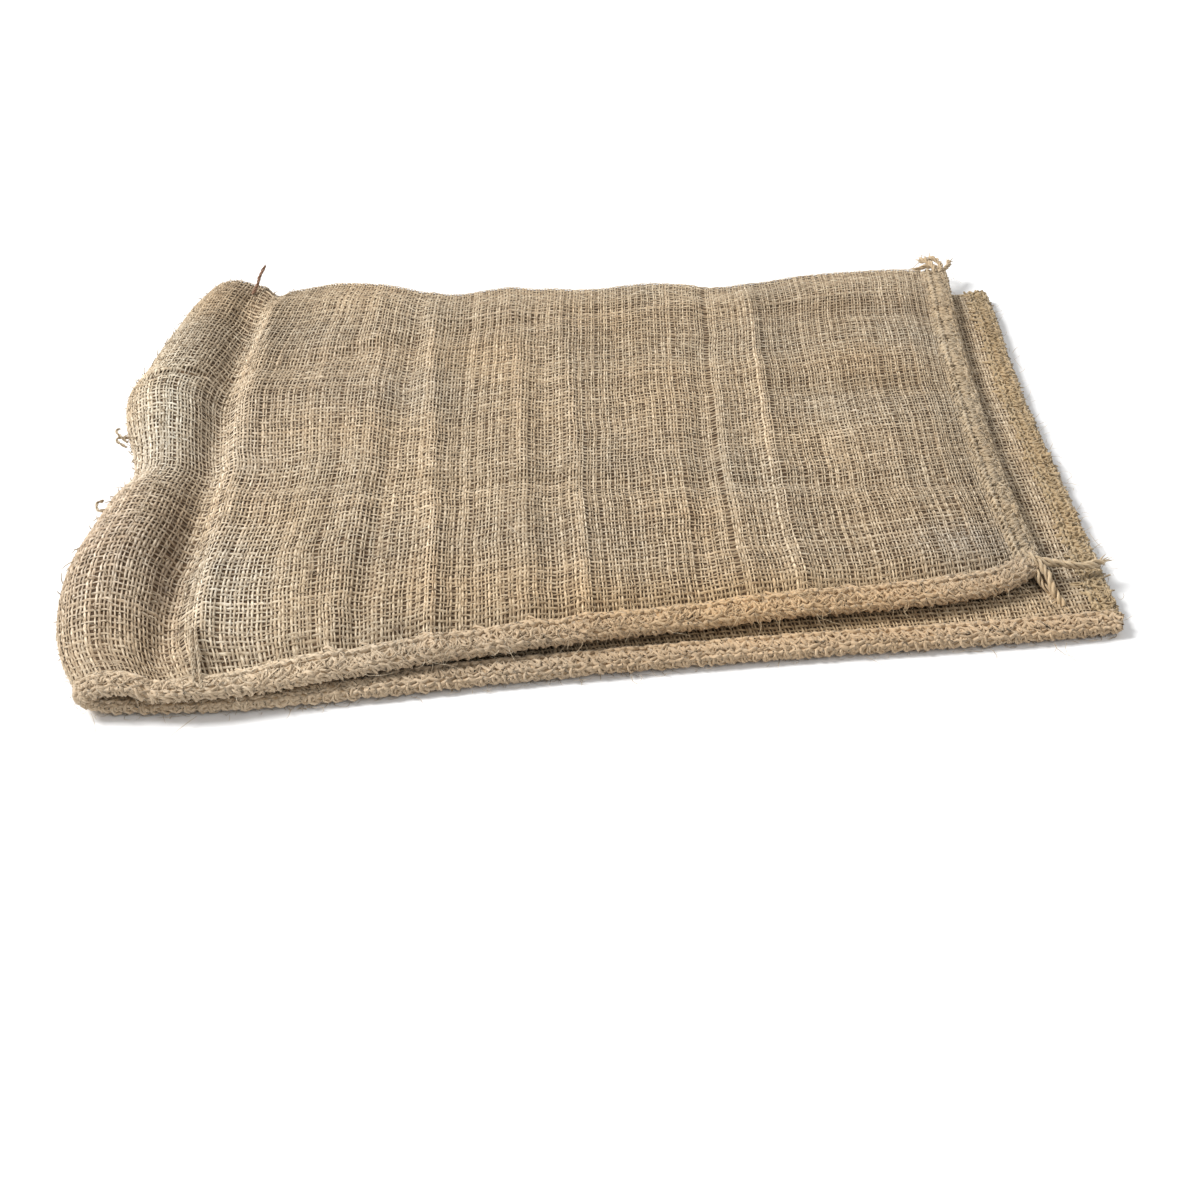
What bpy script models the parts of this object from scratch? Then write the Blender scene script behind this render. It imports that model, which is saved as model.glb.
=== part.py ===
"""A jute sack lying on a surface, folded once across its length.

One rectangle of hessian is folded lengthways along the sack's far side, so the sack has two plies. Both
plies are whipped together along the near side and across the bottom end, and the mouth stays open. The
sack is then folded over at the left, with its bottom end lying on its mouth end, which shows a little
beyond it at the near and right sides. Metres, +Z up, +X along the sack, and the surface is at z = 0.
"""
import math

import bmesh
import bpy
import numpy as np

# Driving dimensions
CLOTH = 0.0014  # thickness of the hessian
PLY_GAP = 0.0046  # between the middles of the two plies, where nothing presses them
SEWN_GAP = 0.0022  # the same at a sewn edge
PLATEAU = 0.0166  # height of the upper half's outer ply
SEAM_HEIGHT = 0.0106  # height of a seam on the upper half
SEAM_RADIUS = 0.0031  # of the roll of both plies' edges and the yarn round them
PART_GAP = 0.00045  # between a seam and the cloth that it holds
FLAT_HEIGHT = CLOTH / 2  # height of the lowest ply's middle, which lies on the surface
SIDE_BAND = 0.021  # width over which the top falls to the near seam
END_BAND = 0.026  # width over which it falls to the bottom seam
FAR_BAND = 0.024  # width over which it rounds down to the far fold
FOLD_BLEND = 0.030  # length over which the fold's crest joins the plateau
CREST_NEAR = -0.2020  # where the crest would run without the fold's lobes, at the near side
CREST_FAR = -0.1880  # and at the far side
LOBE_LENGTH = 0.150  # length over which the yarns leave the lobes' shape
VALLEY_FROM_CREST = 0.026  # along the cloth, to the valley behind the fold, where both plies are pressed
VALLEY_WIDTH = 0.011
VALLEY_PRESS = 0.45  # share of the plies' gap that is lost there
NOTCH_AT = 0.0600  # share of the upper half's length where its far side is drawn in behind the fold
NOTCH_WIDTH = 0.0150
NOTCH_DEPTH = 0.0120
NOTCH_POWER = 5  # how close to the far side it keeps
WIDTH = 0.325  # of the sack as it lies, for turning shares of it into lengths
UPPER_LENGTH = 0.405  # of the upper half, from the fold's crest to the bottom seam
LOWER_LENGTH = 0.432  # of the lower half, from the mouth to under the crest
FOLD_LENGTH = 0.052  # round the fold
TAIL_RADIUS = 0.0011  # of a cut end of the seam's yarn
CENTRE = (0.00936, -0.0222)  # middle of the sack's box in the tables' own coordinates

# The fold at the left, in rows across the sack from its near side, share 0, to its far side, share 1
FOLD = (
    # share, left end, crest's distance from it, crest's height
    (0.00, -0.2145, 0.017, 0.0142),
    (0.06, -0.2240, 0.019, 0.0178),
    (0.12, -0.2287, 0.021, 0.0218),
    (0.17, -0.2298, 0.022, 0.0242),
    (0.22, -0.2290, 0.022, 0.0258),
    (0.27, -0.2258, 0.022, 0.0262),
    (0.31, -0.2226, 0.021, 0.0254),
    (0.38, -0.2180, 0.019, 0.0222),
    (0.45, -0.2108, 0.015, 0.0176),
    (0.50, -0.2125, 0.015, 0.0180),
    (0.58, -0.2190, 0.019, 0.0226),
    (0.66, -0.2208, 0.020, 0.0236),
    (0.72, -0.2150, 0.019, 0.0234),
    (0.80, -0.2095, 0.018, 0.0220),
    (0.87, -0.2040, 0.018, 0.0202),
    (0.93, -0.1992, 0.017, 0.0188),
    (1.00, -0.1908, 0.015, 0.0166),
)

# The ends of both halves, in rows across the sack
ENDS = (
    # share, bottom seam, mouth
    (0.00, 0.1960, 0.2230),
    (0.16, 0.1975, 0.2262),
    (0.33, 0.2010, 0.2300),
    (0.52, 0.2070, 0.2335),
    (0.75, 0.2155, 0.2400),
    (0.90, 0.2225, 0.2462),
    (1.00, 0.2270, 0.2490),
)

# The long sides of both halves, in rows along the sack, from the fold, share 0, to its ends, share 1
SIDES = (
    # share, upper near side, upper far side, lower near side, lower far side
    (0.00, -0.2080, 0.1690, -0.2075, 0.1640),
    (0.045, -0.2110, 0.1668, -0.2095, 0.1620),
    (0.075, -0.2117, 0.1590, -0.2100, 0.1602),
    (0.108, -0.2105, 0.1618, -0.2100, 0.1592),
    (0.148, -0.2082, 0.1658, -0.2092, 0.1583),
    (0.19, -0.2050, 0.1640, -0.2078, 0.1572),
    (0.24, -0.2010, 0.1585, -0.2063, 0.1561),
    (0.31, -0.1955, 0.1460, -0.2035, 0.1540),
    (0.40, -0.1895, 0.1510, -0.2005, 0.1520),
    (0.49, -0.1850, 0.1455, -0.1980, 0.1500),
    (0.60, -0.1800, 0.1500, -0.1955, 0.1470),
    (0.69, -0.1760, 0.1425, -0.1940, 0.1450),
    (0.80, -0.1725, 0.1530, -0.1930, 0.1420),
    (0.90, -0.1690, 0.1570, -0.1915, 0.1395),
    (0.96, -0.1620, 0.1570, -0.1900, 0.1380),
    (1.00, -0.1500, 0.1560, -0.1880, 0.1370),
)

# Soft ridges and troughs that run across the upper half
CREASES = (
    # x at the near side, x at the far side, height, half-width
    (-0.1840, -0.1650, -0.0054, 0.0084),
    (-0.1685, -0.1520, 0.0024, 0.0062),
    (-0.1440, -0.1320, -0.0012, 0.0100),
    (-0.1120, -0.0920, 0.0012, 0.0060),
    (-0.1040, -0.0690, -0.0018, 0.0055),
    (-0.0720, -0.0650, 0.0018, 0.0060),
    (-0.0520, -0.0450, -0.0012, 0.0080),
    (-0.0290, -0.0205, 0.0012, 0.0060),
    (-0.0170, -0.0080, -0.0008, 0.0060),
    (-0.0060, 0.0055, 0.0015, 0.0060),
    (0.0220, 0.0330, -0.0010, 0.0100),
    (0.0440, 0.0900, -0.0018, 0.0060),
    (0.0690, 0.0800, 0.0010, 0.0060),
    (0.0900, 0.1110, 0.0016, 0.0060),
    (0.1180, 0.1300, -0.0010, 0.0100),
    (0.1500, 0.1650, 0.0008, 0.0120),
)

# Shallow troughs that run along the upper half, the first one pressed in by a tight cord
TROUGHS = (
    # y at the fold, y at the bottom seam, depth, half-width, share of the length where it starts
    (-0.0550, -0.0880, 0.0015, 0.0070, 0.00),
    (0.0460, 0.1750, 0.0013, 0.0075, 0.00),
    (0.0260, 0.0080, 0.0013, 0.0110, 0.62),
    (0.1180, 0.0970, 0.0013, 0.0100, 0.58),
)
TROUGH_START = 0.15  # share of the length over which a trough sets in

# Routes of the yarn's cut ends, as steps from the corner of the bottom that each one leaves
NEAR_TAIL = (
    # x, y, z
    (0.0034, -0.0004, 0.0000),
    (0.0085, -0.0032, 0.0012),
    (0.0150, -0.0056, 0.0018),
    (0.0220, -0.0072, 0.0014),
    (0.0290, -0.0066, 0.0002),
    (0.0365, -0.0030, -0.0010),
)
FAR_TAIL = (
    # x, y, z
    (0.0032, 0.0006, 0.0000),
    (0.0046, 0.0066, 0.0008),
    (0.0042, 0.0122, 0.0012),
    (0.0018, 0.0176, 0.0006),
)

# How finely the cloth is divided
LOWER_STEPS = 13
FOLD_STEPS = 10
NEAR_FOLD_STEPS = 14
NEAR_FOLD_LENGTH = 0.070
UPPER_STEPS = 29
PLY_SHARES = (0, 0.012, 0.035, 0.065, 0.1, 0.15, 0.21, 0.27, 0.33, 0.39, 0.44, 0.49, 0.55, 0.62,
              0.69, 0.76, 0.83, 0.89, 0.94, 0.98)
INNER_SHARES = (0.98, 0.92, 0.8, 0.66, 0.5, 0.35, 0.2, 0.1, 0.05, 0.012, 0)
HAIRPIN_STEPS = 6
SEAM_POINTS = 84


def column(table, number, at):
    """A smooth curve through one column of a table, whose first column is where each row lies."""
    rows = np.array(table, float)
    x = rows[:, 0]
    y = rows[:, number]
    slope = np.gradient(y, x)
    i = np.clip(np.searchsorted(x, at, side="right") - 1, 0, len(x) - 2)
    step = x[i + 1] - x[i]
    t = np.clip((at - x[i]) / step, 0, 1)
    start = (1 + 2 * t) * (1 - t) ** 2 * y[i] + t * (1 - t) ** 2 * step * slope[i]
    end = t * t * (3 - 2 * t) * y[i + 1] + t * t * (t - 1) * step * slope[i + 1]
    return start + end


def ease(distance, band):
    """0 at an edge, 1 from band inward, and smooth between."""
    t = np.clip(distance / band, 0, 1)
    return t * t * (3 - 2 * t)


def blend(a, b, share):
    return a + (b - a) * share


def crest(share):
    return column(FOLD, 1, share) + column(FOLD, 2, share)


def upper(along, share):
    """The upper half's outer ply: along it from the crest, 0, to the bottom seam, 1."""
    level = blend(CREST_NEAR, CREST_FAR, share)
    lobe = (crest(share) - level) * (1 - ease(along * UPPER_LENGTH, LOBE_LENGTH))
    x = blend(level, column(ENDS, 1, share), along) + lobe
    y = blend(column(SIDES, 1, along), column(SIDES, 2, along), share)
    notch = NOTCH_DEPTH * np.exp(-(((along - NOTCH_AT) / NOTCH_WIDTH) ** 2))
    y = y - notch * share ** NOTCH_POWER
    from_near = share * WIDTH
    from_far = (1 - share) * WIDTH
    from_end = (1 - along) * UPPER_LENGTH
    full = ease(from_near, SIDE_BAND) * ease(from_end, END_BAND) * blend(0.45, 1, ease(from_far, FAR_BAND))
    edge = SEAM_HEIGHT + SEWN_GAP / 2
    body = blend(edge, PLATEAU, full)
    joined = blend(column(FOLD, 3, share), body, ease(along * UPPER_LENGTH, FOLD_BLEND))
    folds = np.zeros_like(joined)
    for near, far, height, half_width in CREASES:
        middle = blend(near, far, share)
        folds += height * np.exp(-(((x - middle) / half_width) ** 2))
    for left, right, depth, half_width, start in TROUGHS:
        middle = blend(left, right, along)
        folds -= depth * np.exp(-(((y - middle) / half_width) ** 2)) * ease(along - start, TROUGH_START)
    strength = blend(0.35, 1, ease(from_near, SIDE_BAND)) * ease(from_end, END_BAND)
    strength = strength * blend(0.4, 1, ease(from_far, FAR_BAND)) * ease(along * UPPER_LENGTH, 0.012)
    return np.stack([x, y, joined + folds * strength], -1)


def lower(along, share):
    """The lower half's outer ply: along it from the mouth, 0, to under the crest, 1."""
    x = blend(column(ENDS, 2, share), crest(share), along)
    y = blend(column(SIDES, 3, 1 - along), column(SIDES, 4, 1 - along), share)
    lift = SEAM_RADIUS + 0.0002 - SEWN_GAP / 2 - FLAT_HEIGHT
    z = FLAT_HEIGHT + lift * (1 - ease(share * WIDTH, 0.016))
    return np.stack([x, y, z + 0 * x], -1)


def fold(along, share):
    """The fold's outer ply, half an ellipse from the lower half, 0, up to the upper half, 1."""
    low = lower(np.ones_like(share), share)
    high = upper(np.zeros_like(share), share)
    angle = (along - 0.5) * math.pi
    middle = (low[..., 2] + high[..., 2]) / 2
    radius = (high[..., 2] - low[..., 2]) / 2
    x = crest(share) - column(FOLD, 2, share) * np.cos(angle)
    y = blend(low[..., 1], high[..., 1], ease(along, 1))
    return np.stack([x, y, middle + radius * np.sin(angle)], -1)


def outer(s, share):
    """The outer ply at a distance s from the mouth and a share of the width."""
    s, share = np.broadcast_arrays(np.asarray(s, float), np.asarray(share, float))
    below = np.clip(s / LOWER_LENGTH, 0, 1)
    round_it = np.clip((s - LOWER_LENGTH) / FOLD_LENGTH, 0, 1)
    above = np.clip((s - LOWER_LENGTH - FOLD_LENGTH) / UPPER_LENGTH, 0, 1)
    on_top = (s > LOWER_LENGTH + FOLD_LENGTH)[..., None]
    under = (s < LOWER_LENGTH)[..., None]
    bent_or_top = np.where(on_top, upper(above, share), fold(round_it, share))
    return np.where(under, lower(below, share), bent_or_top)


def inward(s, share):
    """The direction from the outer ply to the inner one, across the sack's length."""
    length = LOWER_LENGTH + FOLD_LENGTH + UPPER_LENGTH
    reach = 0.002
    ahead = outer(np.minimum(s + reach, length), share)
    behind = outer(np.maximum(s - reach, 0), share)
    run = ahead - behind
    across = np.stack([run[..., 2], np.zeros_like(run[..., 0]), -run[..., 0]], -1)
    return across / np.linalg.norm(across, axis=-1, keepdims=True)


def ply_gap(s, share):
    """Between the middles of both plies: they meet at the near seam and at the bottom seam."""
    crest_at = LOWER_LENGTH + FOLD_LENGTH
    free = ease(share * WIDTH, SIDE_BAND) * ease(crest_at + UPPER_LENGTH - s, END_BAND)
    pressed = VALLEY_PRESS * np.exp(-(((s - crest_at - VALLEY_FROM_CREST) / VALLEY_WIDTH) ** 2))
    return blend(SEWN_GAP, PLY_GAP * (1 - pressed), free)


def cloth_point(s, share, turn):
    """A point of the cloth. turn is 0 on the outer ply, 1 on the inner and between at the far fold."""
    start = outer(s, share)
    gap = ply_gap(s, share)[..., None]
    half = gap / 2 * inward(s, share)
    bulge = gap / 2 * np.sin(turn * math.pi)[..., None] * np.array([0, 1, 0])
    return start + half * (1 - np.cos(turn * math.pi))[..., None] + bulge


def stations_along():
    """Distances from the mouth at which the cloth has a row of points."""
    under = np.linspace(0, LOWER_LENGTH, LOWER_STEPS + 1)[:-1]
    start = LOWER_LENGTH + FOLD_LENGTH
    round_it = np.linspace(LOWER_LENGTH, start, FOLD_STEPS + 1)[:-1]
    first = np.linspace(start, start + NEAR_FOLD_LENGTH, NEAR_FOLD_STEPS + 1)[:-1]
    rest = np.linspace(start + NEAR_FOLD_LENGTH, start + UPPER_LENGTH, UPPER_STEPS + 1)
    return np.concatenate([under, round_it, first, rest])


def stations_across():
    """(share, turn) of each point across the cloth: the outer ply, the far fold, the inner ply."""
    bend = np.linspace(0, 1, HAIRPIN_STEPS + 1)
    share = np.concatenate([PLY_SHARES, np.ones(HAIRPIN_STEPS + 1), INNER_SHARES])
    turn = np.concatenate([np.zeros(len(PLY_SHARES)), bend, np.ones(len(INNER_SHARES))])
    return share, turn


def material(name, colour, roughness):
    made = bpy.data.materials.new(name)
    made.use_nodes = True
    shader = made.node_tree.nodes["Principled BSDF"]
    shader.inputs["Base Color"].default_value = (*colour, 1)
    shader.inputs["Roughness"].default_value = roughness
    shader.inputs["Metallic"].default_value = 0
    return made


def placed(thing, parts):
    """Puts a sub-part in the sack's collection, with the middle of the sack's box over the origin."""
    thing.location = (-CENTRE[0], -CENTRE[1], 0)
    parts.objects.link(thing)
    return thing


def sack_cloth(parts):
    s = stations_along()
    share, turn = stations_across()
    grid = cloth_point(s[:, None], share[None, :], np.broadcast_to(turn, (len(s), len(turn))))
    mesh = bpy.data.meshes.new("sack_cloth")
    cloth = bmesh.new()
    rows = [[cloth.verts.new(point) for point in row] for row in grid]
    for near_row, next_row in zip(rows, rows[1:]):
        for i in range(len(near_row) - 1):
            cloth.faces.new((near_row[i], next_row[i], next_row[i + 1], near_row[i + 1]))
    cloth.to_mesh(mesh)
    cloth.free()
    mesh.shade_smooth()
    mesh.materials.append(material("hessian", (0.53, 0.43, 0.30), 0.92))
    thing = placed(bpy.data.objects.new("sack_cloth", mesh), parts)
    thick = thing.modifiers.new("thickness", "SOLIDIFY")
    thick.thickness = CLOTH
    thick.offset = 0
    return thing


def tube(name, points, radius, finish, parts, resolution=2):
    """A round length of yarn or rolled edge along points."""
    curve = bpy.data.curves.new(name, "CURVE")
    curve.dimensions = "3D"
    curve.bevel_depth = radius
    curve.bevel_resolution = resolution
    curve.use_fill_caps = True
    line = curve.splines.new("POLY")
    line.points.add(len(points) - 1)
    for spot, point in zip(line.points, points):
        spot.co = (*point, 1)
    curve.materials.append(finish)
    return placed(bpy.data.objects.new(name, curve), parts)


def middle_of_plies(s, share):
    return (cloth_point(s, share, np.zeros_like(s)) + cloth_point(s, share, np.ones_like(s))) / 2


def side_seam(finish, parts):
    """From the mouth along the lower half, round the fold and back to the bottom corner."""
    length = LOWER_LENGTH + FOLD_LENGTH + UPPER_LENGTH
    start = LOWER_LENGTH + FOLD_LENGTH
    below = np.linspace(0, LOWER_LENGTH, SEAM_POINTS // 3)[:-1]
    round_it = np.linspace(LOWER_LENGTH, start, SEAM_POINTS // 6)[:-1]
    above = np.linspace(start, length, SEAM_POINTS // 2)
    s = np.concatenate([below, round_it, above])
    points = middle_of_plies(s, np.zeros_like(s))
    run = np.gradient(points, axis=0)
    out = np.stack([run[:, 1] * np.sign(run[:, 0]), -np.abs(run[:, 0]), 0 * run[:, 0]], -1)
    out = out / np.linalg.norm(out, axis=1, keepdims=True)
    turning = ((s > LOWER_LENGTH) & (s < start))[:, None]
    out = np.where(turning, np.array([0.0, -1.0, 0.0]), out)
    return tube("side_seam", points + out * (SEAM_RADIUS + PART_GAP), SEAM_RADIUS, finish, parts)


def bottom_seam(finish, parts):
    """Across the bottom end, from the near corner to the far one."""
    share = np.linspace(0.004, 1, SEAM_POINTS // 3)
    s = np.full_like(share, LOWER_LENGTH + FOLD_LENGTH + UPPER_LENGTH)
    points = middle_of_plies(s, share)
    points[:, 0] += SEAM_RADIUS + PART_GAP
    return tube("bottom_seam", points, SEAM_RADIUS, finish, parts)


def tail(name, share, route, finish, parts):
    """A cut end of the yarn, from just clear of a corner of the bottom."""
    end = np.array([LOWER_LENGTH + FOLD_LENGTH + UPPER_LENGTH])
    corner = middle_of_plies(end, np.array([share]))
    tube(name, corner + np.array(route), TAIL_RADIUS, finish, parts, 1)


def build():
    for thing in list(bpy.data.objects):
        bpy.data.objects.remove(thing, do_unlink=True)
    parts = bpy.data.collections.new("jute_sack")
    bpy.context.scene.collection.children.link(parts)
    sack_cloth(parts)
    yarn = material("golden jute yarn", (0.58, 0.43, 0.24), 0.88)
    side_seam(yarn, parts)
    bottom_seam(yarn, parts)
    tail("near_corner_tail", 0.0, NEAR_TAIL, yarn, parts)
    tail("far_corner_tail", 1.0, FAR_TAIL, yarn, parts)


build()
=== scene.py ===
"""The jute sack's looks: woven yarns on the folded cloth, whipped seams, loose ends, materials and studio."""
import math
from functools import cache

import bpy
import numpy as np
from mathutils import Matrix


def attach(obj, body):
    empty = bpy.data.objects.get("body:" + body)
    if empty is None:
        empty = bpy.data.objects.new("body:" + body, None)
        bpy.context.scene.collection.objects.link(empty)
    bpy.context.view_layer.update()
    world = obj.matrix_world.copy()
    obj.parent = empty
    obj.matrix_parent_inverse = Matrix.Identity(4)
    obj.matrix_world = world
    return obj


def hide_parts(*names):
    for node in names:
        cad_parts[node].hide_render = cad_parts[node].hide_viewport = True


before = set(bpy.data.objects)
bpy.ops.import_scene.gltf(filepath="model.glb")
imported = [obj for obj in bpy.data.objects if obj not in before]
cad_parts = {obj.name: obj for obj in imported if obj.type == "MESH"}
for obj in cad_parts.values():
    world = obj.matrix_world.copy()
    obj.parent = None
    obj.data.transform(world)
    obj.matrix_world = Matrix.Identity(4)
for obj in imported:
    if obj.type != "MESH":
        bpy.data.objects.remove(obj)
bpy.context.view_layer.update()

# ---------------- the folded sack, as its solids have it
CLOTH = 0.0014  # thickness of the hessian
PLY_GAP = 0.0046  # between the middles of the two plies, where nothing presses them
SEWN_GAP = 0.0022  # the same at a sewn edge
PLATEAU = 0.0166  # height of the upper half's outer ply
SEAM_HEIGHT = 0.0106  # height of a seam on the upper half
SEAM_RADIUS = 0.0031  # of the roll of both plies' edges and the yarn round them
PART_GAP = 0.00045  # between a seam and the cloth that it holds
FLAT_HEIGHT = CLOTH / 2  # height of the lowest ply's middle
SIDE_BAND = 0.021  # width over which the top falls to the near seam
END_BAND = 0.026  # width over which it falls to the bottom seam
FAR_BAND = 0.024  # width over which it rounds down to the far fold
FOLD_BLEND = 0.030  # length over which the fold's crest joins the plateau
CREST_NEAR = -0.2020  # where the crest would run without the fold's lobes, at the near side
CREST_FAR = -0.1880  # and at the far side
LOBE_LENGTH = 0.150  # length over which the yarns leave the lobes' shape
VALLEY_FROM_CREST = 0.026  # along the cloth, to the valley behind the fold, where both plies are pressed
VALLEY_WIDTH = 0.011
VALLEY_PRESS = 0.45  # share of the plies' gap that is lost there
NOTCH_AT = 0.0600  # share of the upper half's length where its far side is drawn in behind the fold
NOTCH_WIDTH = 0.0150
NOTCH_DEPTH = 0.0120
NOTCH_POWER = 5  # how close to the far side it keeps
FAR_FULL = 0.45  # share of the plateau's rise that is left at the far fold
NEAR_FOLDS = 0.35  # share of the folds' height that is left at the near seam
FAR_FOLDS = 0.4  # and at the far fold
CREST_CALM = 0.012  # length behind the crest over which the folds set in
SEAM_CLEAR = 0.0002  # between the lower run of the side seam and the floor
LOWER_BAND = 0.016  # width over which the lower half rises to that seam
WIDTH = 0.325  # of the sack as it lies
UPPER_LENGTH = 0.405  # of the upper half, from the fold's crest to the bottom seam
LOWER_LENGTH = 0.432  # of the lower half, from the mouth to under the crest
FOLD_LENGTH = 0.052  # round the fold
CREST = LOWER_LENGTH + FOLD_LENGTH  # distance from the mouth to the fold's crest
LENGTH = CREST + UPPER_LENGTH
HAIRPIN = 0.0072  # width of cloth round the far fold
GIRTH = 2 * WIDTH + HAIRPIN  # of cloth round both plies
CENTRE = (0.00936, -0.0222)  # middle of the sack's box in the tables' own coordinates
ORIGIN = np.array([*CENTRE, 0])  # the same as a point
REACH = 0.002  # between places whose difference gives a direction

# The fold at the left, in rows across the sack from its near side, share 0, to its far side, share 1
FOLD = (
    # share, left end, crest's distance from it, crest's height
    (0.00, -0.2145, 0.017, 0.0142),
    (0.06, -0.2240, 0.019, 0.0178),
    (0.12, -0.2287, 0.021, 0.0218),
    (0.17, -0.2298, 0.022, 0.0242),
    (0.22, -0.2290, 0.022, 0.0258),
    (0.27, -0.2258, 0.022, 0.0262),
    (0.31, -0.2226, 0.021, 0.0254),
    (0.38, -0.2180, 0.019, 0.0222),
    (0.45, -0.2108, 0.015, 0.0176),
    (0.50, -0.2125, 0.015, 0.0180),
    (0.58, -0.2190, 0.019, 0.0226),
    (0.66, -0.2208, 0.020, 0.0236),
    (0.72, -0.2150, 0.019, 0.0234),
    (0.80, -0.2095, 0.018, 0.0220),
    (0.87, -0.2040, 0.018, 0.0202),
    (0.93, -0.1992, 0.017, 0.0188),
    (1.00, -0.1908, 0.015, 0.0166),
)
# The ends of both halves, in rows across the sack
ENDS = (
    # share, bottom seam, mouth
    (0.00, 0.1960, 0.2230),
    (0.16, 0.1975, 0.2262),
    (0.33, 0.2010, 0.2300),
    (0.52, 0.2070, 0.2335),
    (0.75, 0.2155, 0.2400),
    (0.90, 0.2225, 0.2462),
    (1.00, 0.2270, 0.2490),
)
# The long sides of both halves, in rows along the sack from the fold, share 0, to its ends, share 1
SIDES = (
    # share, upper near side, upper far side, lower near side, lower far side
    (0.00, -0.2080, 0.1690, -0.2075, 0.1640),
    (0.045, -0.2110, 0.1668, -0.2095, 0.1620),
    (0.075, -0.2117, 0.1590, -0.2100, 0.1602),
    (0.108, -0.2105, 0.1618, -0.2100, 0.1592),
    (0.148, -0.2082, 0.1658, -0.2092, 0.1583),
    (0.19, -0.2050, 0.1640, -0.2078, 0.1572),
    (0.24, -0.2010, 0.1585, -0.2063, 0.1561),
    (0.31, -0.1955, 0.1460, -0.2035, 0.1540),
    (0.40, -0.1895, 0.1510, -0.2005, 0.1520),
    (0.49, -0.1850, 0.1455, -0.1980, 0.1500),
    (0.60, -0.1800, 0.1500, -0.1955, 0.1470),
    (0.69, -0.1760, 0.1425, -0.1940, 0.1450),
    (0.80, -0.1725, 0.1530, -0.1930, 0.1420),
    (0.90, -0.1690, 0.1570, -0.1915, 0.1395),
    (0.96, -0.1620, 0.1570, -0.1900, 0.1380),
    (1.00, -0.1500, 0.1560, -0.1880, 0.1370),
)
# Soft ridges and troughs that run across the upper half
CREASES = (
    # x at the near side, x at the far side, height, half-width
    (-0.184, -0.165, -0.0054, 0.0084),
    (-0.1685, -0.152, 0.0024, 0.0062),
    (-0.144, -0.132, -0.0012, 0.01),
    (-0.112, -0.092, 0.0012, 0.006),
    (-0.104, -0.069, -0.0018, 0.0055),
    (-0.072, -0.065, 0.0018, 0.006),
    (-0.052, -0.045, -0.0012, 0.008),
    (-0.029, -0.0205, 0.0012, 0.006),
    (-0.017, -0.008, -0.0008, 0.006),
    (-0.006, 0.0055, 0.0015, 0.006),
    (0.022, 0.033, -0.001, 0.01),
    (0.044, 0.09, -0.0018, 0.006),
    (0.069, 0.08, 0.001, 0.006),
    (0.09, 0.111, 0.0016, 0.006),
    (0.118, 0.13, -0.001, 0.01),
    (0.15, 0.165, 0.0008, 0.012),
)
# Shallow troughs that run along the upper half, the first one pressed in by a tight cord
TROUGHS = (
    # y at the fold, y at the bottom seam, depth, half-width, share of the length where it starts
    (-0.055, -0.088, 0.0015, 0.007, 0.0),
    (0.046, 0.175, 0.0013, 0.0075, 0.0),
    (0.026, 0.008, 0.0013, 0.011, 0.62),
    (0.118, 0.097, 0.0013, 0.01, 0.58),
)
TROUGH_START = 0.15  # share of the length over which a trough sets in

# ---------------- what the solids leave to this script
PAIR_PITCH = 0.0034  # from one pair of yarns across the sack to the next
ALONG_PITCH = 0.0030  # from one yarn along the sack to the next
ALONG_WIDTH = 0.00132  # of a yarn along the sack, flattened in the weave
PAIR_WIDTH = 0.00092  # of one yarn of a pair across it
PAIR_APART = 0.00068  # from a pair's middle to the middle of each of its yarns, where it is closed up
LOOSE_APART = 0.00082  # the same near the fold, where the yarns have spread evenly
LOOSE_SWELL = 0.14  # how much wider the yarns are there
NEAR_GATHER = 0.0048  # how far the near seam draws in the yarns beside it
END_GATHER = 0.0030  # the same at the bottom seam
GATHER_REACH = 0.015  # distance over which a seam draws the yarns in
YARN_RISE = 0.00028  # how far a yarn's middle goes over and under
ALONG_CROWN = 0.00038  # a yarn's middle above its edges
PAIR_CROWN = 0.00032
GROUND_DEPTH = 0.0006  # of the sheet under the yarns, painted dark there as the shade seen through the holes between them
GROUND_THICKNESS = 0.0004
STITCH_PITCH = 0.0049  # from one whip stitch to the next
STITCH_LEAN = 0.0034  # how far a stitch runs along the seam, from its middle to its end
STITCH_POINTS = 14  # of the path, in each turn of the whipping
STITCH_PLY = 0.00062  # radius of one of the two plies of the sewing yarn
STITCH_SPREAD = 1.25  # plies' radii from the sewing yarn's middle to the middle of each ply
FRIZZ = 0.00035  # how far the plies stray
STITCH_FLAT = 0.5  # thickness of the sewing yarn for its width
BITE = 0.0082  # how far in from the edge a stitch goes through the cloth
ROLL_OUT = SEAM_RADIUS + PART_GAP  # from the cloth's edge out to the middle of the seam's roll
GROUND_HEIGHT = GROUND_THICKNESS + 0.0001  # lowest that the dark sheet lies
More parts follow.
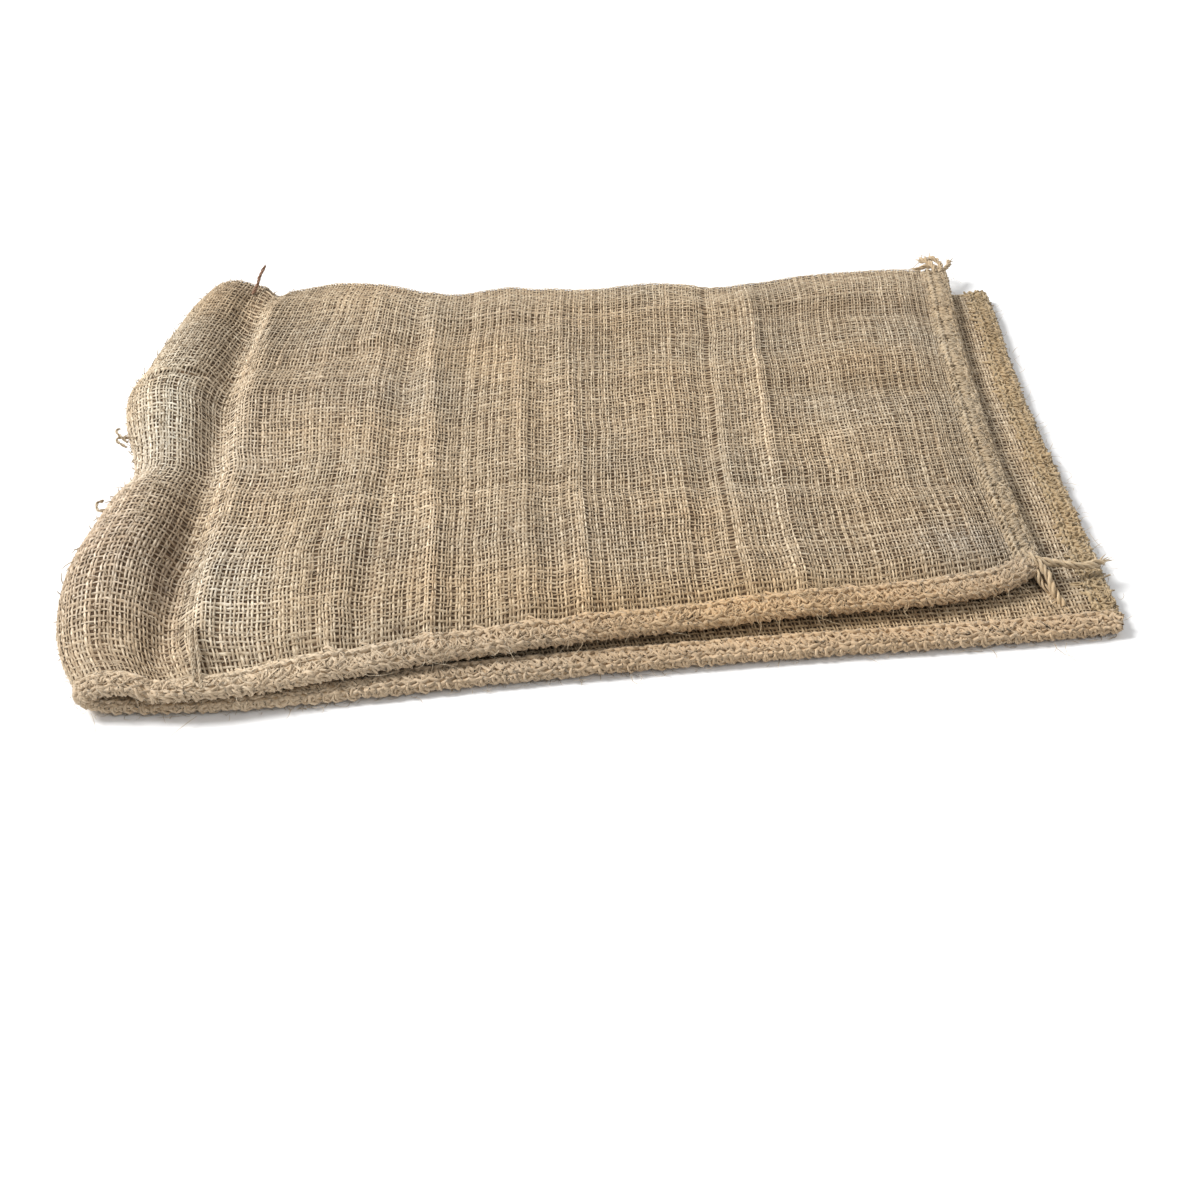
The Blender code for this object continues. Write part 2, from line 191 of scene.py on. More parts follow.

# Sharp creases of the upper half and the fold, with painted highlight along their ridges and painted shade in
# their grooves
CREASE_LINES = (
    # x and y of one end, x and y of the other, height, half-width, how much lighter as painted highlight,
    # darker as painted shade where below 0
    (-0.094, 0.09, -0.0977, -0.05, 0.0004, 0.0024, 0.16),
    (-0.1011, -0.08, -0.102, -0.12, 0.0004, 0.0026, 0.16),
    (-0.0665, 0.095, -0.068, -0.052, 0.0006, 0.003, 0.2),
    (-0.0677, -0.079, -0.0718, -0.19, 0.0007, 0.0034, 0.26),
    (-0.0218, 0.07, -0.0255, -0.058, 0.0004, 0.0022, 0.16),
    (0.0044, 0.075, 0.0012, -0.06, 0.0004, 0.0024, 0.18),
    (0.0001, -0.085, -0.005, -0.176, 0.0006, 0.0026, 0.22),
    (0.1075, 0.09, 0.0945, -0.06, 0.0005, 0.0024, 0.2),
    (0.095, -0.088, 0.0914, -0.166, 0.0005, 0.0024, 0.18),
    (0.075, -0.088, 0.0706, -0.157, 0.0003, 0.0018, 0.1),
    (-0.2185, 0.037, -0.2083, 0.0446, -0.0014, 0.0028, -0.12),
    (-0.2083, 0.0446, -0.186, 0.0484, -0.0013, 0.0028, -0.12),
    (-0.219, 0.044, -0.19, 0.053, 0.0005, 0.0022, 0.16),
    (-0.1883, 0.054, -0.1336, 0.069, 0.0006, 0.003, 0.12),
    (-0.125, 0.074, -0.094, 0.088, 0.0006, 0.003, 0.12),
    (-0.08, 0.097, -0.0568, 0.1085, 0.0006, 0.003, 0.1),
    (-0.05, 0.109, -0.0046, 0.1114, 0.0006, 0.0034, 0.08),
    (-0.2066, -0.1356, -0.195, -0.1031, 0.0007, 0.004, 0.14),
    (-0.169, -0.2, -0.1675, -0.07, 0.0004, 0.0036, 0.14),
    (-0.1665, -0.06, -0.1635, 0.055, 0.0004, 0.0034, 0.16),
    (-0.1632, 0.062, -0.154, 0.12, 0.0003, 0.0032, 0.14),
)
CREASE_LEAD = 0.016  # how far before the fold's crest the sharp creases set in
CREASE_BAND = 0.012  # length over which they do


def column(table, number, at):
    """A smooth curve through one column of a table, whose first column is where each row lies."""
    rows = np.array(table, float)
    x = rows[:, 0]
    y = rows[:, number]
    slope = np.gradient(y, x)
    i = np.clip(np.searchsorted(x, at, side="right") - 1, 0, len(x) - 2)
    step = x[i + 1] - x[i]
    t = np.clip((at - x[i]) / step, 0, 1)
    start = (1 + 2 * t) * (1 - t) ** 2 * y[i] + t * (1 - t) ** 2 * step * slope[i]
    end = t * t * (3 - 2 * t) * y[i + 1] + t * t * (t - 1) * step * slope[i + 1]
    return start + end


def ease(distance, band):
    """0 at an edge, 1 from band inward, and smooth between."""
    t = np.clip(distance / band, 0, 1)
    return t * t * (3 - 2 * t)


def blend(a, b, share):
    return a + (b - a) * share


def crest(share):
    return column(FOLD, 1, share) + column(FOLD, 2, share)


def upper(along, share):
    """The upper half's outer ply: along it from the crest, 0, to the bottom seam, 1."""
    level = blend(CREST_NEAR, CREST_FAR, share)
    lobe = (crest(share) - level) * (1 - ease(along * UPPER_LENGTH, LOBE_LENGTH))
    x = blend(level, column(ENDS, 1, share), along) + lobe
    y = blend(column(SIDES, 1, along), column(SIDES, 2, along), share)
    notch = NOTCH_DEPTH * np.exp(-(((along - NOTCH_AT) / NOTCH_WIDTH) ** 2))
    y = y - notch * share ** NOTCH_POWER
    near = ease(share * WIDTH, SIDE_BAND)
    far = ease((1 - share) * WIDTH, FAR_BAND)
    end = ease((1 - along) * UPPER_LENGTH, END_BAND)
    body = blend(SEAM_HEIGHT + SEWN_GAP / 2, PLATEAU, near * end * blend(FAR_FULL, 1, far))
    z = blend(column(FOLD, 3, share), body, ease(along * UPPER_LENGTH, FOLD_BLEND))
    folds = np.zeros_like(z)
    for left, right, height, half_width in CREASES:
        middle = blend(left, right, share)
        folds += height * np.exp(-(((x - middle) / half_width) ** 2))
    for left, right, depth, half_width, start in TROUGHS:
        middle = blend(left, right, along)
        folds -= depth * np.exp(-(((y - middle) / half_width) ** 2)) * ease(along - start, TROUGH_START)
    strength = blend(NEAR_FOLDS, 1, near) * end * blend(FAR_FOLDS, 1, far)
    return np.stack([x, y, z + folds * (strength * ease(along * UPPER_LENGTH, CREST_CALM))], -1)


def lower(along, share):
    """The lower half's outer ply: along it from the mouth, 0, to under the crest, 1."""
    x = blend(column(ENDS, 2, share), crest(share), along)
    y = blend(column(SIDES, 3, 1 - along), column(SIDES, 4, 1 - along), share)
    lift = SEAM_RADIUS + SEAM_CLEAR - SEWN_GAP / 2 - FLAT_HEIGHT
    z = FLAT_HEIGHT + lift * (1 - ease(share * WIDTH, LOWER_BAND))
    return np.stack([x, y, z + 0 * x], -1)


def fold(along, share):
    """The fold's outer ply, half an ellipse from the lower half, 0, up to the upper half, 1."""
    low = lower(np.ones_like(share), share)
    high = upper(np.zeros_like(share), share)
    angle = (along - 0.5) * math.pi
    middle = (low[..., 2] + high[..., 2]) / 2
    radius = (high[..., 2] - low[..., 2]) / 2
    x = crest(share) - column(FOLD, 2, share) * np.cos(angle)
    y = blend(low[..., 1], high[..., 1], ease(along, 1))
    return np.stack([x, y, middle + radius * np.sin(angle)], -1)


def outer(s, share):
    """The outer ply at a distance s from the mouth and a share of the width."""
    s, share = np.broadcast_arrays(np.asarray(s, float), np.asarray(share, float))
    below = np.clip(s / LOWER_LENGTH, 0, 1)
    round_it = np.clip((s - LOWER_LENGTH) / FOLD_LENGTH, 0, 1)
    above = np.clip((s - CREST) / UPPER_LENGTH, 0, 1)
    top = np.where((s > CREST)[..., None], upper(above, share), fold(round_it, share))
    return np.where((s < LOWER_LENGTH)[..., None], lower(below, share), top)


def inward(s, share):
    """The direction from the outer ply to the inner one, across the sack's length."""
    run = outer(np.minimum(s + REACH, LENGTH), share) - outer(np.maximum(s - REACH, 0), share)
    return unit(np.stack([run[..., 2], np.zeros_like(run[..., 0]), -run[..., 0]], -1))


def ply_gap(s, share):
    """Between the middles of both plies: they meet at the near seam and at the bottom seam."""
    free = ease(share * WIDTH, SIDE_BAND) * ease(LENGTH - s, END_BAND)
    pressed = VALLEY_PRESS * np.exp(-(((s - CREST - VALLEY_FROM_CREST) / VALLEY_WIDTH) ** 2))
    return blend(SEWN_GAP, PLY_GAP * (1 - pressed), free)


def segment_distance(x, y, x1, y1, x2, y2):
    """Distance of points from a straight segment."""
    run_x, run_y = x2 - x1, y2 - y1
    t = np.clip(((x - x1) * run_x + (y - y1) * run_y) / (run_x ** 2 + run_y ** 2), 0, 1)
    return np.hypot(x - x1 - t * run_x, y - y1 - t * run_y)


def creased(x, y):
    """Height of the sharp creases at a place, and how much lighter it is painted there as highlight, or
    darker as shade.
    """
    height, painted_light = np.zeros_like(x), np.zeros_like(x)
    for x1, y1, x2, y2, tall, wide, pale in CREASE_LINES:
        near = np.exp(-((segment_distance(x, y, x1, y1, x2, y2) / wide) ** 2))
        height += tall * near
        # painted highlight along ridges where pale is above 0, painted shade in grooves where it is below
        painted_light += pale * near
    return height, painted_light


def cloth_point(s, across):
    """A point of the cloth at s from the mouth and across from the near edge of the outer ply: over that ply,
    round the far fold and back over the inner ply."""
    s, across = np.broadcast_arrays(np.asarray(s, float), np.asarray(across, float))
    share = np.clip(across / WIDTH, 0, 1) - np.clip((across - WIDTH - HAIRPIN) / WIDTH, 0, 1)
    turn = np.clip((across - WIDTH) / HAIRPIN, 0, 1) * math.pi
    start = outer(s, share)
    gap = ply_gap(s, share)[..., None]
    bulge = gap / 2 * np.sin(turn)[..., None] * np.array([0, 1, 0])
    here = start + gap / 2 * inward(s, share) * (1 - np.cos(turn))[..., None] + bulge
    here[..., 2] += creased(here[..., 0], here[..., 1])[0] * ease(s - CREST + CREASE_LEAD, CREASE_BAND)
    return here - ORIGIN


def plies_middle(s, across):
    """Halfway between both plies."""
    return (cloth_point(s, across) + cloth_point(s, GIRTH - across)) / 2


WAVES = 7  # summed up in each ripple


def ripple(a, b, seed, size):
    """Smooth uneven waves between about -1 and 1, of the given size in metres, over two coordinates."""
    draw = np.random.default_rng(seed)
    total = np.zeros(np.broadcast(a, b).shape)
    for _ in range(WAVES):
        angle = draw.uniform(0, math.pi)
        length = size * draw.uniform(0.7, 1.6)
        phase = draw.uniform(0, 2 * math.pi)
        total = total + np.sin((a * math.cos(angle) + b * math.sin(angle)) * 2 * math.pi / length + phase)
    return total / math.sqrt(WAVES) * 0.7


def unit(v):
    return v / np.maximum(np.linalg.norm(v, axis=-1, keepdims=True), 1e-12)


def joined(*parts):
    return np.stack(np.broadcast_arrays(*parts), -1)


# ---------------- meshes
FLOOR_GAP = 0.0002  # between the floor and the lowest strand


def off_floor(points, height):
    """The points, with those that are lower than a height lifted to it."""
    points[..., 2] = np.maximum(points[..., 2], height)
    return points


def store(mesh, name, rows):
    layer = mesh.attributes.new(name, "FLOAT_VECTOR", "POINT")
    layer.data.foreach_set("vector", np.concatenate(rows).astype(np.float32).ravel())


class Strips:
    """Strips of quads gathered for one mesh. Each point has a mark for the shader and a place on the map."""

    def __init__(self):
        self.points, self.quads, self.marks, self.places, self.shades = [], [], [], [], []
        self.count = 0

    def add(self, rows, marks, places, keep=None, closed=False, shade=1.0):
        """rows is (strips, along, across, 3). keep says which steps along each strip stay, and shade how
        light each point is."""
        strips, along, across = rows.shape[:3]
        index = np.arange(strips * along * across).reshape(strips, along, across)
        if closed:
            index = np.concatenate([index, index[:, :, :1]], 2)
        quads = np.stack([index[:, :-1, :-1], index[:, :-1, 1:], index[:, 1:, 1:], index[:, 1:, :-1]], -1)
        if keep is not None:
            quads = quads[np.broadcast_to(keep[:, :, None], quads.shape[:3])]
        used, quads = np.unique(quads.reshape(-1), return_inverse=True)
        self.points.append(rows.reshape(-1, 3)[used])
        self.marks.append(np.broadcast_to(marks, rows.shape).reshape(-1, 3)[used])
        self.places.append(np.broadcast_to(places, rows.shape[:3] + (2,)).reshape(-1, 2)[used])
        self.shades.append(np.broadcast_to(shade, rows.shape).reshape(-1, 3)[used])
        self.quads.append(quads.reshape(-1, 4) + self.count)
        self.count += len(used)

    def piece(self, name, slot, material, mark="yarn", flip=False):
        """Makes the strips one piece, with the marks under the name that the material reads."""
        points, quads = np.concatenate(self.points), np.concatenate(self.quads)
        if flip:
            quads = quads[:, ::-1]
        mesh = bpy.data.meshes.new(name)
        mesh.vertices.add(len(points))
        mesh.vertices.foreach_set("co", points.astype(np.float32).ravel())
        mesh.loops.add(quads.size)
        mesh.loops.foreach_set("vertex_index", quads.ravel().astype(np.int32))
        mesh.polygons.add(len(quads))
        mesh.polygons.foreach_set("loop_start", np.arange(0, quads.size, 4, dtype=np.int32))
        mesh.update(calc_edges=True)
        mesh.shade_smooth()
        store(mesh, mark, self.marks)
        store(mesh, "tint", self.shades)
        places = mesh.uv_layers.new(name="OFBake")
        places.data.foreach_set("uv", np.concatenate(self.places)[quads.ravel()].astype(np.float32).ravel())
        mesh.materials.append(material)
        thing = linked(name, mesh)
        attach(thing, "root")
        return thing


def linked(name, data):
    """A new object in the scene."""
    thing = bpy.data.objects.new(name, data)
    bpy.context.scene.collection.objects.link(thing)
    return thing


def frames(paths):
    """Directions along and square to each path of (paths, points, 3), and the length along it."""
    along = unit(np.gradient(paths, axis=1))
    side = np.empty_like(paths)
    across = np.cross(along[:, 0], (0.0, 0.0, 1.0))
    level = np.linalg.norm(across, axis=-1, keepdims=True) > 0.2
    side[:, 0] = unit(np.where(level, across, np.cross(along[:, 0], (1.0, 0.0, 0.0))))
    for i in range(1, paths.shape[1]):
        last = side[:, i - 1]
        side[:, i] = unit(last - (last * along[:, i]).sum(-1, keepdims=True) * along[:, i])
    step = np.linalg.norm(np.diff(paths, axis=1), axis=-1)
    length = np.concatenate([np.zeros((len(paths), 1)), np.cumsum(step, 1)], 1)
    return along, side, np.cross(along, side), length


MAP_SHAPE = 0.2  # columns of the map's cells for their rows


def strands(gathered, paths, radii, sides, draw):
    """Round strands along paths (strands, points, 3), each with its own shade and its own cell of the map."""
    _, side, up, length = frames(paths)
    angle = np.arange(sides) * 2 * math.pi / sides
    ring = side[:, :, None] * np.cos(angle)[:, None] + up[:, :, None] * np.sin(angle)[:, None]
    rows = paths[:, :, None] + ring * np.broadcast_to(radii, paths.shape[:2])[..., None, None]
    tone = draw.uniform(0, 1, (len(paths), 1, 1))
    marks = joined(length[..., None], angle * np.mean(radii), tone)
    columns = math.ceil(math.sqrt(len(paths) * MAP_SHAPE))
    lines = math.ceil(len(paths) / columns)
    cell = np.arange(len(paths))[:, None, None]
    u = cell // lines + np.linspace(0.02, 0.98, paths.shape[1])[:, None]
    v = cell % lines + np.linspace(0.1, 0.9, sides)
    gathered.add(off_floor(rows, FLOOR_GAP), marks, joined(u / columns, v / lines), closed=True)


def plied(paths, ply, turn, plies=2, spread=0.95, start=0.0, facing=None, flat=1.0):
    """The paths of the plies of a twisted yarn along each of the paths. facing points away from what the
    yarn lies on, and flat is how thick it is for its width."""
    along, side, up, length = frames(paths)
    if facing is not None:
        up = unit(facing - (facing * along).sum(-1, keepdims=True) * along)
        side = np.cross(along, up)
    made = []
    for number in range(plies):
        angle = (length / turn + number / plies + start) * 2 * math.pi
        offset = side * np.cos(angle)[..., None] + flat * up * np.sin(angle)[..., None]
        made.append(paths + spread * ply * offset)
    return np.concatenate(made)


def frizzy(gathered, paths, ply, at, seed, size, smooth, draw):
    """A yarn's plies along their paths, each straying and uneven. at is how far along each point is."""
    for number, path in enumerate(paths):
        stray = joined(*(ripple(at, 0, seed + 3 * number + axis, size) for axis in range(3)))
        radii = ply * slubs(draw, 1, len(at), smooth, PLY_SLUBS)
        strands(gathered, (path + FRIZZ * stray)[None], radii, 5, draw)


def curve_through(knots, points):
    """Points evenly along a smooth curve through a few knots."""
    knots = np.array(knots, float)
    at = np.linspace(0, 1, len(knots))
    table = np.column_stack([at, knots])
    where = np.linspace(0, 1, points)
    return np.stack([column(table, axis + 1, where) for axis in range(3)], -1)


def slubs(draw, strips, along, smooth, amount):
    """Uneven thickness along each yarn, about 1."""
    raw = draw.normal(0, 1, (strips, along + 2 * smooth))
    kernel = np.hanning(smooth * 2 + 1)
    kernel /= math.sqrt((kernel ** 2).sum())
    even = np.stack([np.convolve(row, kernel, "valid") for row in raw])[:, :along]
    each = draw.normal(0, 1, (strips, 1))
    return np.clip(1 + amount * (0.8 * even + 0.6 * each), 0.62, 1.6)


PLY_SLUBS = 0.22  # how uneven the sewing yarn's plies are
OVER_HIGHLIGHT = 0.13  # painted highlight: how much lighter a yarn is where it goes over another
YARN_SHADES = 0.08  # how much yarns differ
YARN_SLUBS = 0.25  # how uneven their thickness is
YARN_WANDER = 0.00018  # how far they leave their lines
SLOW_SWAY = (0.00080, 0.00090)  # how far the lines across the sack and along it stray slowly
QUICK_SWAY = (0.00034, 0.00030)  # and from line to line
PITCH_ERROR = 0.00022  # how unevenly they are spaced
PAIR_SWAY = 0.00012  # how much the gap in a pair changes
SWAY_BAND = 0.020  # width over which the sways set in from the cloth's edges
LOOSE_PAST = 0.03  # from the fold's crest to the middle of the yarns that lie loose
LOOSE_HALF = 0.08  # half of the length where they do
LOOSE_BAND = 0.10  # length over which they tighten
ALONG_SHADE = 0.92  # of the yarns along the sack, beside those across it
# painted shade along each yarn's edges, and painted highlight along its crown
FLANK_PAINTED_SHADE = (0.78, 0.72, 0.64)
CROWN_PAINTED_HIGHLIGHT = (1.12, 1.12, 1.12)
YARN_SECTION = np.array([(-1.0, -1.0), (0.0, 0.35), (1.0, -1.0)])


def gathered_in(distance, amount):
    """How far a yarn at this distance from a seam is drawn in towards it."""
    return amount * (np.clip(distance / WIDTH, 0, 1) - 1 + np.exp(-distance / GATHER_REACH))


class Weave:
    """One stretch of cloth, as points half a pitch apart: yarns cross where both numbers are odd."""

    def __init__(self, s_from, s_to, across_from, across_to, seed):
        self.draw = np.random.default_rng(seed)
        ks = np.arange(round(s_from / PAIR_PITCH) * 2, round(s_to / PAIR_PITCH) * 2 + 1)
        kq = np.arange(round(across_from / ALONG_PITCH) * 2, round(across_to / ALONG_PITCH) * 2 + 1)
        self.odd_s, self.odd_q = ks % 2 == 1, kq % 2 == 1
        s, q = np.meshgrid(ks * PAIR_PITCH / 2, kq * ALONG_PITCH / 2, indexing="ij")
        shift_s = SLOW_SWAY[0] * ripple(s, q, 11, 0.08) + QUICK_SWAY[0] * ripple(s * 0.5, q, 13, 0.03)
        shift_q = SLOW_SWAY[1] * ripple(s, q, 12, 0.08) + QUICK_SWAY[1] * ripple(s, q * 0.5, 14, 0.03)
        shift_s += self.draw.normal(0, PITCH_ERROR, (len(ks), 1))
        shift_q += self.draw.normal(0, PITCH_ERROR, (1, len(kq)))
        inside_s = ease(np.minimum(s, LENGTH - s), SWAY_BAND)
        inside_q = ease(q, SWAY_BAND) * (q < WIDTH - 0.01)
        self.s, self.q = s, q
        gather_q = gathered_in(np.minimum(q, GIRTH - q), NEAR_GATHER) * np.sign(WIDTH + HAIRPIN / 2 - q)
        gather_s = -gathered_in(LENGTH - s, END_GATHER)
        self.points = cloth_point(np.clip(s + gather_s + shift_s * inside_s, 0, LENGTH),
                                  q + gather_q + shift_q * inside_q)
        self.along = unit(np.gradient(self.points, axis=0))
        self.across = unit(np.gradient(self.points, axis=1))
        self.normal = unit(np.cross(self.along, self.across))
        over = np.where(((ks[:, None] - 1) // 2 + (kq[None, :] - 1) // 2) % 2 == 0, 1.0, -1.0)
        self.over = over * (self.odd_s[:, None] & self.odd_q[None, :])

    def looseness(self, s):
        """1 near the fold, where the yarns have spread evenly and swollen, and 0 far from it."""
        return 1 - ease(np.abs(s - CREST - LOOSE_PAST) - LOOSE_HALF, LOOSE_BAND)

    def yarns(self, gathered, take, bend, sign, apart, width, crown, along_s, keep):
        """Flattened yarns over the lines that take picks, a little to one side of them by apart. bend is the
        direction across them, and sign is 1 where the weave's over is theirs and -1 where it isn't."""
        middle, up, side = take(self.points), take(self.normal), take(bend)
        count, steps = middle.shape[:2]
        thick = slubs(self.draw, count, steps, 5, YARN_SLUBS)
        wander = YARN_WANDER * (slubs(self.draw, count, steps, 4, 1.0) - 1) + apart
        half = width / 2 * thick * (1 + LOOSE_SWELL * self.looseness(take(self.s)))
        rise = YARN_RISE * sign * take(self.over)
        middle = middle + side * wander[..., None] + up * rise[..., None]
        aside = half[..., None] * YARN_SECTION[:, 0]
        lifted = crown * YARN_SECTION[:, 1] * thick[..., None]
        rows = middle[:, :, None] + side[:, :, None] * aside[..., None] + up[:, :, None] * lifted[..., None]
        length, place = (take(self.s), take(self.q)) if along_s else (take(self.q), take(self.s))
        tone = self.draw.uniform(0, 1, (count, 1, 1))
        marks = joined(length[..., None], aside, tone)
        wide = place[..., None] + np.mean(apart) + aside
        span = self.q if along_s else self.s
        u = (wide - span.min() + PAIR_PITCH) / (np.ptp(span) + 2 * PAIR_PITCH)
        v = (length - length.min()) / np.ptp(length)
        # painted highlight where the yarn goes over another, and each yarn's own tone
        light = 1 + OVER_HIGHLIGHT * sign * take(self.over) + self.draw.normal(0, YARN_SHADES, (count, 1))
        if along_s:
            light = light * ALONG_SHADE
        # painted shade on the yarn's edges and painted highlight on its crown
        painted_relief = np.where(np.abs(YARN_SECTION[:, :1]) > 0.9, FLANK_PAINTED_SHADE, CROWN_PAINTED_HIGHLIGHT)
        gathered.add(rows, marks, joined(u, v[..., None]), keep, shade=light[..., None, None] * painted_relief)


def woven(name, weave, parts, keep_here=None):
    """The cloth's yarns, as pieces: the pairs across the sack in some parts, and the ones along it in one."""
    shown = None if keep_here is None else keep_here(weave.points, weave.s, weave.q)

    def kept(take):
        """The steps with an end where the cloth shows."""
        return None if shown is None else take(shown)[:, :-1] | take(shown)[:, 1:]
    made = []
    for number, some in enumerate(np.array_split(np.where(weave.odd_s)[0], parts)):
        def take(field):
            return field[some]
        apart = blend(PAIR_APART, LOOSE_APART, weave.looseness(take(weave.s)))
        apart = apart + PAIR_SWAY * ripple(take(weave.s), take(weave.q), 15, 0.04)
        gathered = Strips()
        for side in (-1, 1):
            weave.yarns(gathered, take, weave.along, 1, side * apart, PAIR_WIDTH, PAIR_CROWN, False,
                        kept(take))
        made.append(gathered.piece(f"{name}_yarns_across_{number + 1}", "hessian", yarn_material()))

    def take_along(field):
        return np.swapaxes(field, 0, 1)[weave.odd_q]
    gathered = Strips()
    weave.yarns(gathered, take_along, weave.across, -1, 0.0, ALONG_WIDTH, ALONG_CROWN, True, kept(take_along))
    made.append(gathered.piece(f"{name}_yarns_along", "hessian", yarn_material(), flip=True))
    return made


# ---------------- materials
class Nodes:
    """A material's nodes, with short calls for the ones used here."""

    def __init__(self, name):
        self.material = bpy.data.materials.new(name)
        self.material.use_nodes = True
        self.tree = self.material.node_tree

    def add(self, kind, **settings):
        node = self.tree.nodes.new(kind)
        for key, value in settings.items():
            setattr(node, key, value)
        return node

    def feed(self, node, values):
        """Gives a node's inputs, by name or number, other nodes' outputs, colours or numbers."""
        for name, value in values.items():
            socket = node.inputs[name]
            if isinstance(value, bpy.types.NodeSocket):
                self.tree.links.new(value, socket)
            elif isinstance(value, tuple):
                socket.default_value = (*value, 1)
            else:
                socket.default_value = value

    def math(self, operation, a, b=0.0, clamp=False):
        node = self.add("ShaderNodeMath", operation=operation, use_clamp=clamp)
        self.feed(node, {0: a, 1: b})
        return node.outputs[0]

    def times(self, a, b):
        return self.math("MULTIPLY", a, b)

    def total(self, *parts, clamp=False):
        """The sum of outputs and numbers. A pair is the product of both."""
        made, *rest = (self.times(*part) if isinstance(part, tuple) else part for part in parts)
        for number, part in enumerate(rest):
            made = self.math("ADD", made, part, clamp and number == len(rest) - 1)
        return made

    def split(self, name):
        """The three numbers of a point attribute."""
        node = self.add("ShaderNodeSeparateXYZ")
        self.feed(node, {"Vector": self.attribute(name)})
        return node.outputs[0], node.outputs[1], node.outputs[2]

    def attribute(self, name):
        return self.add("ShaderNodeAttribute", attribute_name=name).outputs["Vector"]

    def join(self, x, y, z):
        node = self.add("ShaderNodeCombineXYZ")
        self.feed(node, {"X": x, "Y": y, "Z": z})
        return node.outputs[0]

    def noise(self, vector, scale, detail=2.0):
        node = self.add("ShaderNodeTexNoise")
        self.feed(node, {"Vector": vector, "Scale": scale, "Detail": detail, "Roughness": 0.55})
        return node.outputs["Fac"]

    def ramp(self, value, *stops):
        node = self.add("ShaderNodeValToRGB")
        while len(node.color_ramp.elements) < len(stops):
            node.color_ramp.elements.new(0.5)
        for element, (position, colour) in zip(node.color_ramp.elements, stops):
            element.position = position
            element.color = (*colour, 1)
        self.feed(node, {"Fac": value})
        return node.outputs[0]

    def mix(self, blend_type, share, a, b):
        node = self.add("ShaderNodeMix", data_type="RGBA", blend_type=blend_type)
        self.feed(node, {"Factor": share, "A": a, "B": b})
        return node.outputs["Result"]

    def finish(self, colour, roughness, height, bump, sheen):
        node = self.add("ShaderNodeBump")
        self.feed(node, {"Strength": bump, "Distance": 0.0003, "Height": height})
        self.feed(self.tree.nodes["Principled BSDF"], {
            "Base Color": colour, "Roughness": roughness, "Specular IOR Level": 0.25,
            "Sheen Weight": sheen, "Sheen Roughness": 0.45, "Sheen Tint": (1.0, 0.93, 0.80),
            "Normal": node.outputs[0]})
        return self.material


TWIST = 0.0042  # of the spun yarn, along one turn
TWIST_ACROSS = 0.0016  # and across it
STREAKS = (420.0, 5200.0)  # streaks to a metre along the yarn and across it
CHANGES = 260.0  # slow changes of colour to a metre


def fibres(nodes, dark, middle, light, contrast):
    """Colour and height of spun jute: streaks along the yarn, its twist, and slow changes along it and
    between yarns."""
    length, across, tone = nodes.split("yarn")
    seed = nodes.times(tone, 83.0)
    place = nodes.join(nodes.times(length, STREAKS[0]), nodes.times(across, STREAKS[1]), seed)
    streak = nodes.noise(place, 1.0, 3.0)
    slow = nodes.noise(nodes.join(nodes.times(length, CHANGES), 0.0, seed), 1.0)
    lean = nodes.math("ADD", nodes.math("DIVIDE", length, TWIST), nodes.math("DIVIDE", across, TWIST_ACROSS))
    twist = nodes.math("SINE", nodes.times(lean, 2 * math.pi))
    value = nodes.total((streak, 0.60), (slow, 0.60), (twist, 0.05), (tone, 0.12))
    value = nodes.total((nodes.math("SUBTRACT", value, 0.66), contrast), 0.5, clamp=True)
    pale = blend(np.array(middle), np.array(light), 0.6)
    colour = nodes.ramp(value, (0.0, dark), (0.42, middle), (0.75, pale), (1.0, light))
    return colour, nodes.total((streak, 0.7), (twist, 0.25)), streak


def jute(name, dark, middle, light, contrast, rough, bump, sheen):
    """A yarn's material, which each point's tint colours."""
    nodes = Nodes(name)
    colour, height, streak = fibres(nodes, dark, middle, light, contrast)
    colour = nodes.mix("MULTIPLY", 1.0, colour, nodes.attribute("tint"))
    return nodes.finish(colour, nodes.total((streak, 0.25), rough), height, bump, sheen)


@cache
def yarn_material():
    return jute("hessian_yarn", (0.15, 0.099, 0.057), (0.365, 0.278, 0.180), (0.66, 0.565, 0.425), 2.0,
                rough=0.62, bump=0.6, sheen=0.2)


@cache
def stitch_material():
    return jute("golden_jute_yarn", (0.37, 0.272, 0.165), (0.580, 0.462, 0.312), (0.79, 0.67, 0.49), 1.7,
                rough=0.60, bump=0.7, sheen=0.25)


def ground_material():
    """The cloth under the modelled yarns, dark as painted shade, and the whole of it where no yarns are
    modelled: a plain weave.
    """
    nodes = Nodes("hessian_ground")
    s, across, covered = nodes.split("cloth")
    wave_s = nodes.math("COSINE", nodes.times(s, math.pi / PAIR_PITCH))
    wave_q = nodes.math("COSINE", nodes.times(across, math.pi / ALONG_PITCH))
    yarn_s = nodes.math("POWER", nodes.math("ABSOLUTE", wave_s), 0.6)
    yarn_q = nodes.math("POWER", nodes.math("ABSOLUTE", wave_q), 0.6)
    over = nodes.total((nodes.times(wave_s, wave_q), 0.9), 0.5, clamp=True)
    height = nodes.total((yarn_s, over), (yarn_q, nodes.math("SUBTRACT", 1.0, over)))
    patchy = nodes.noise(nodes.add("ShaderNodeTexCoord").outputs["Object"], 700.0, 3.0)
    uneven = nodes.times(nodes.math("SUBTRACT", patchy, 0.5), 0.9)
    value = nodes.total((height, 0.75), uneven, clamp=True)
    # plain: the weave's colour, darker where its yarns run low, as painted shade in the gaps between them
    plain = nodes.ramp(value, (0, (0.10, 0.07, 0.04)), (0.38, (0.27, 0.20, 0.12)), (1, (0.56, 0.46, 0.31)))
    # deep: painted shade, the dark brown seen through the holes between the modelled yarns
    deep = nodes.ramp(patchy, (0.32, (0.036, 0.018, 0.007)), (0.70, (0.125, 0.070, 0.031)))
    colour = nodes.mix("MIX", covered, plain, deep)
    return nodes.finish(colour, nodes.total((patchy, 0.2), 0.72), height, 0.9, 0.15)
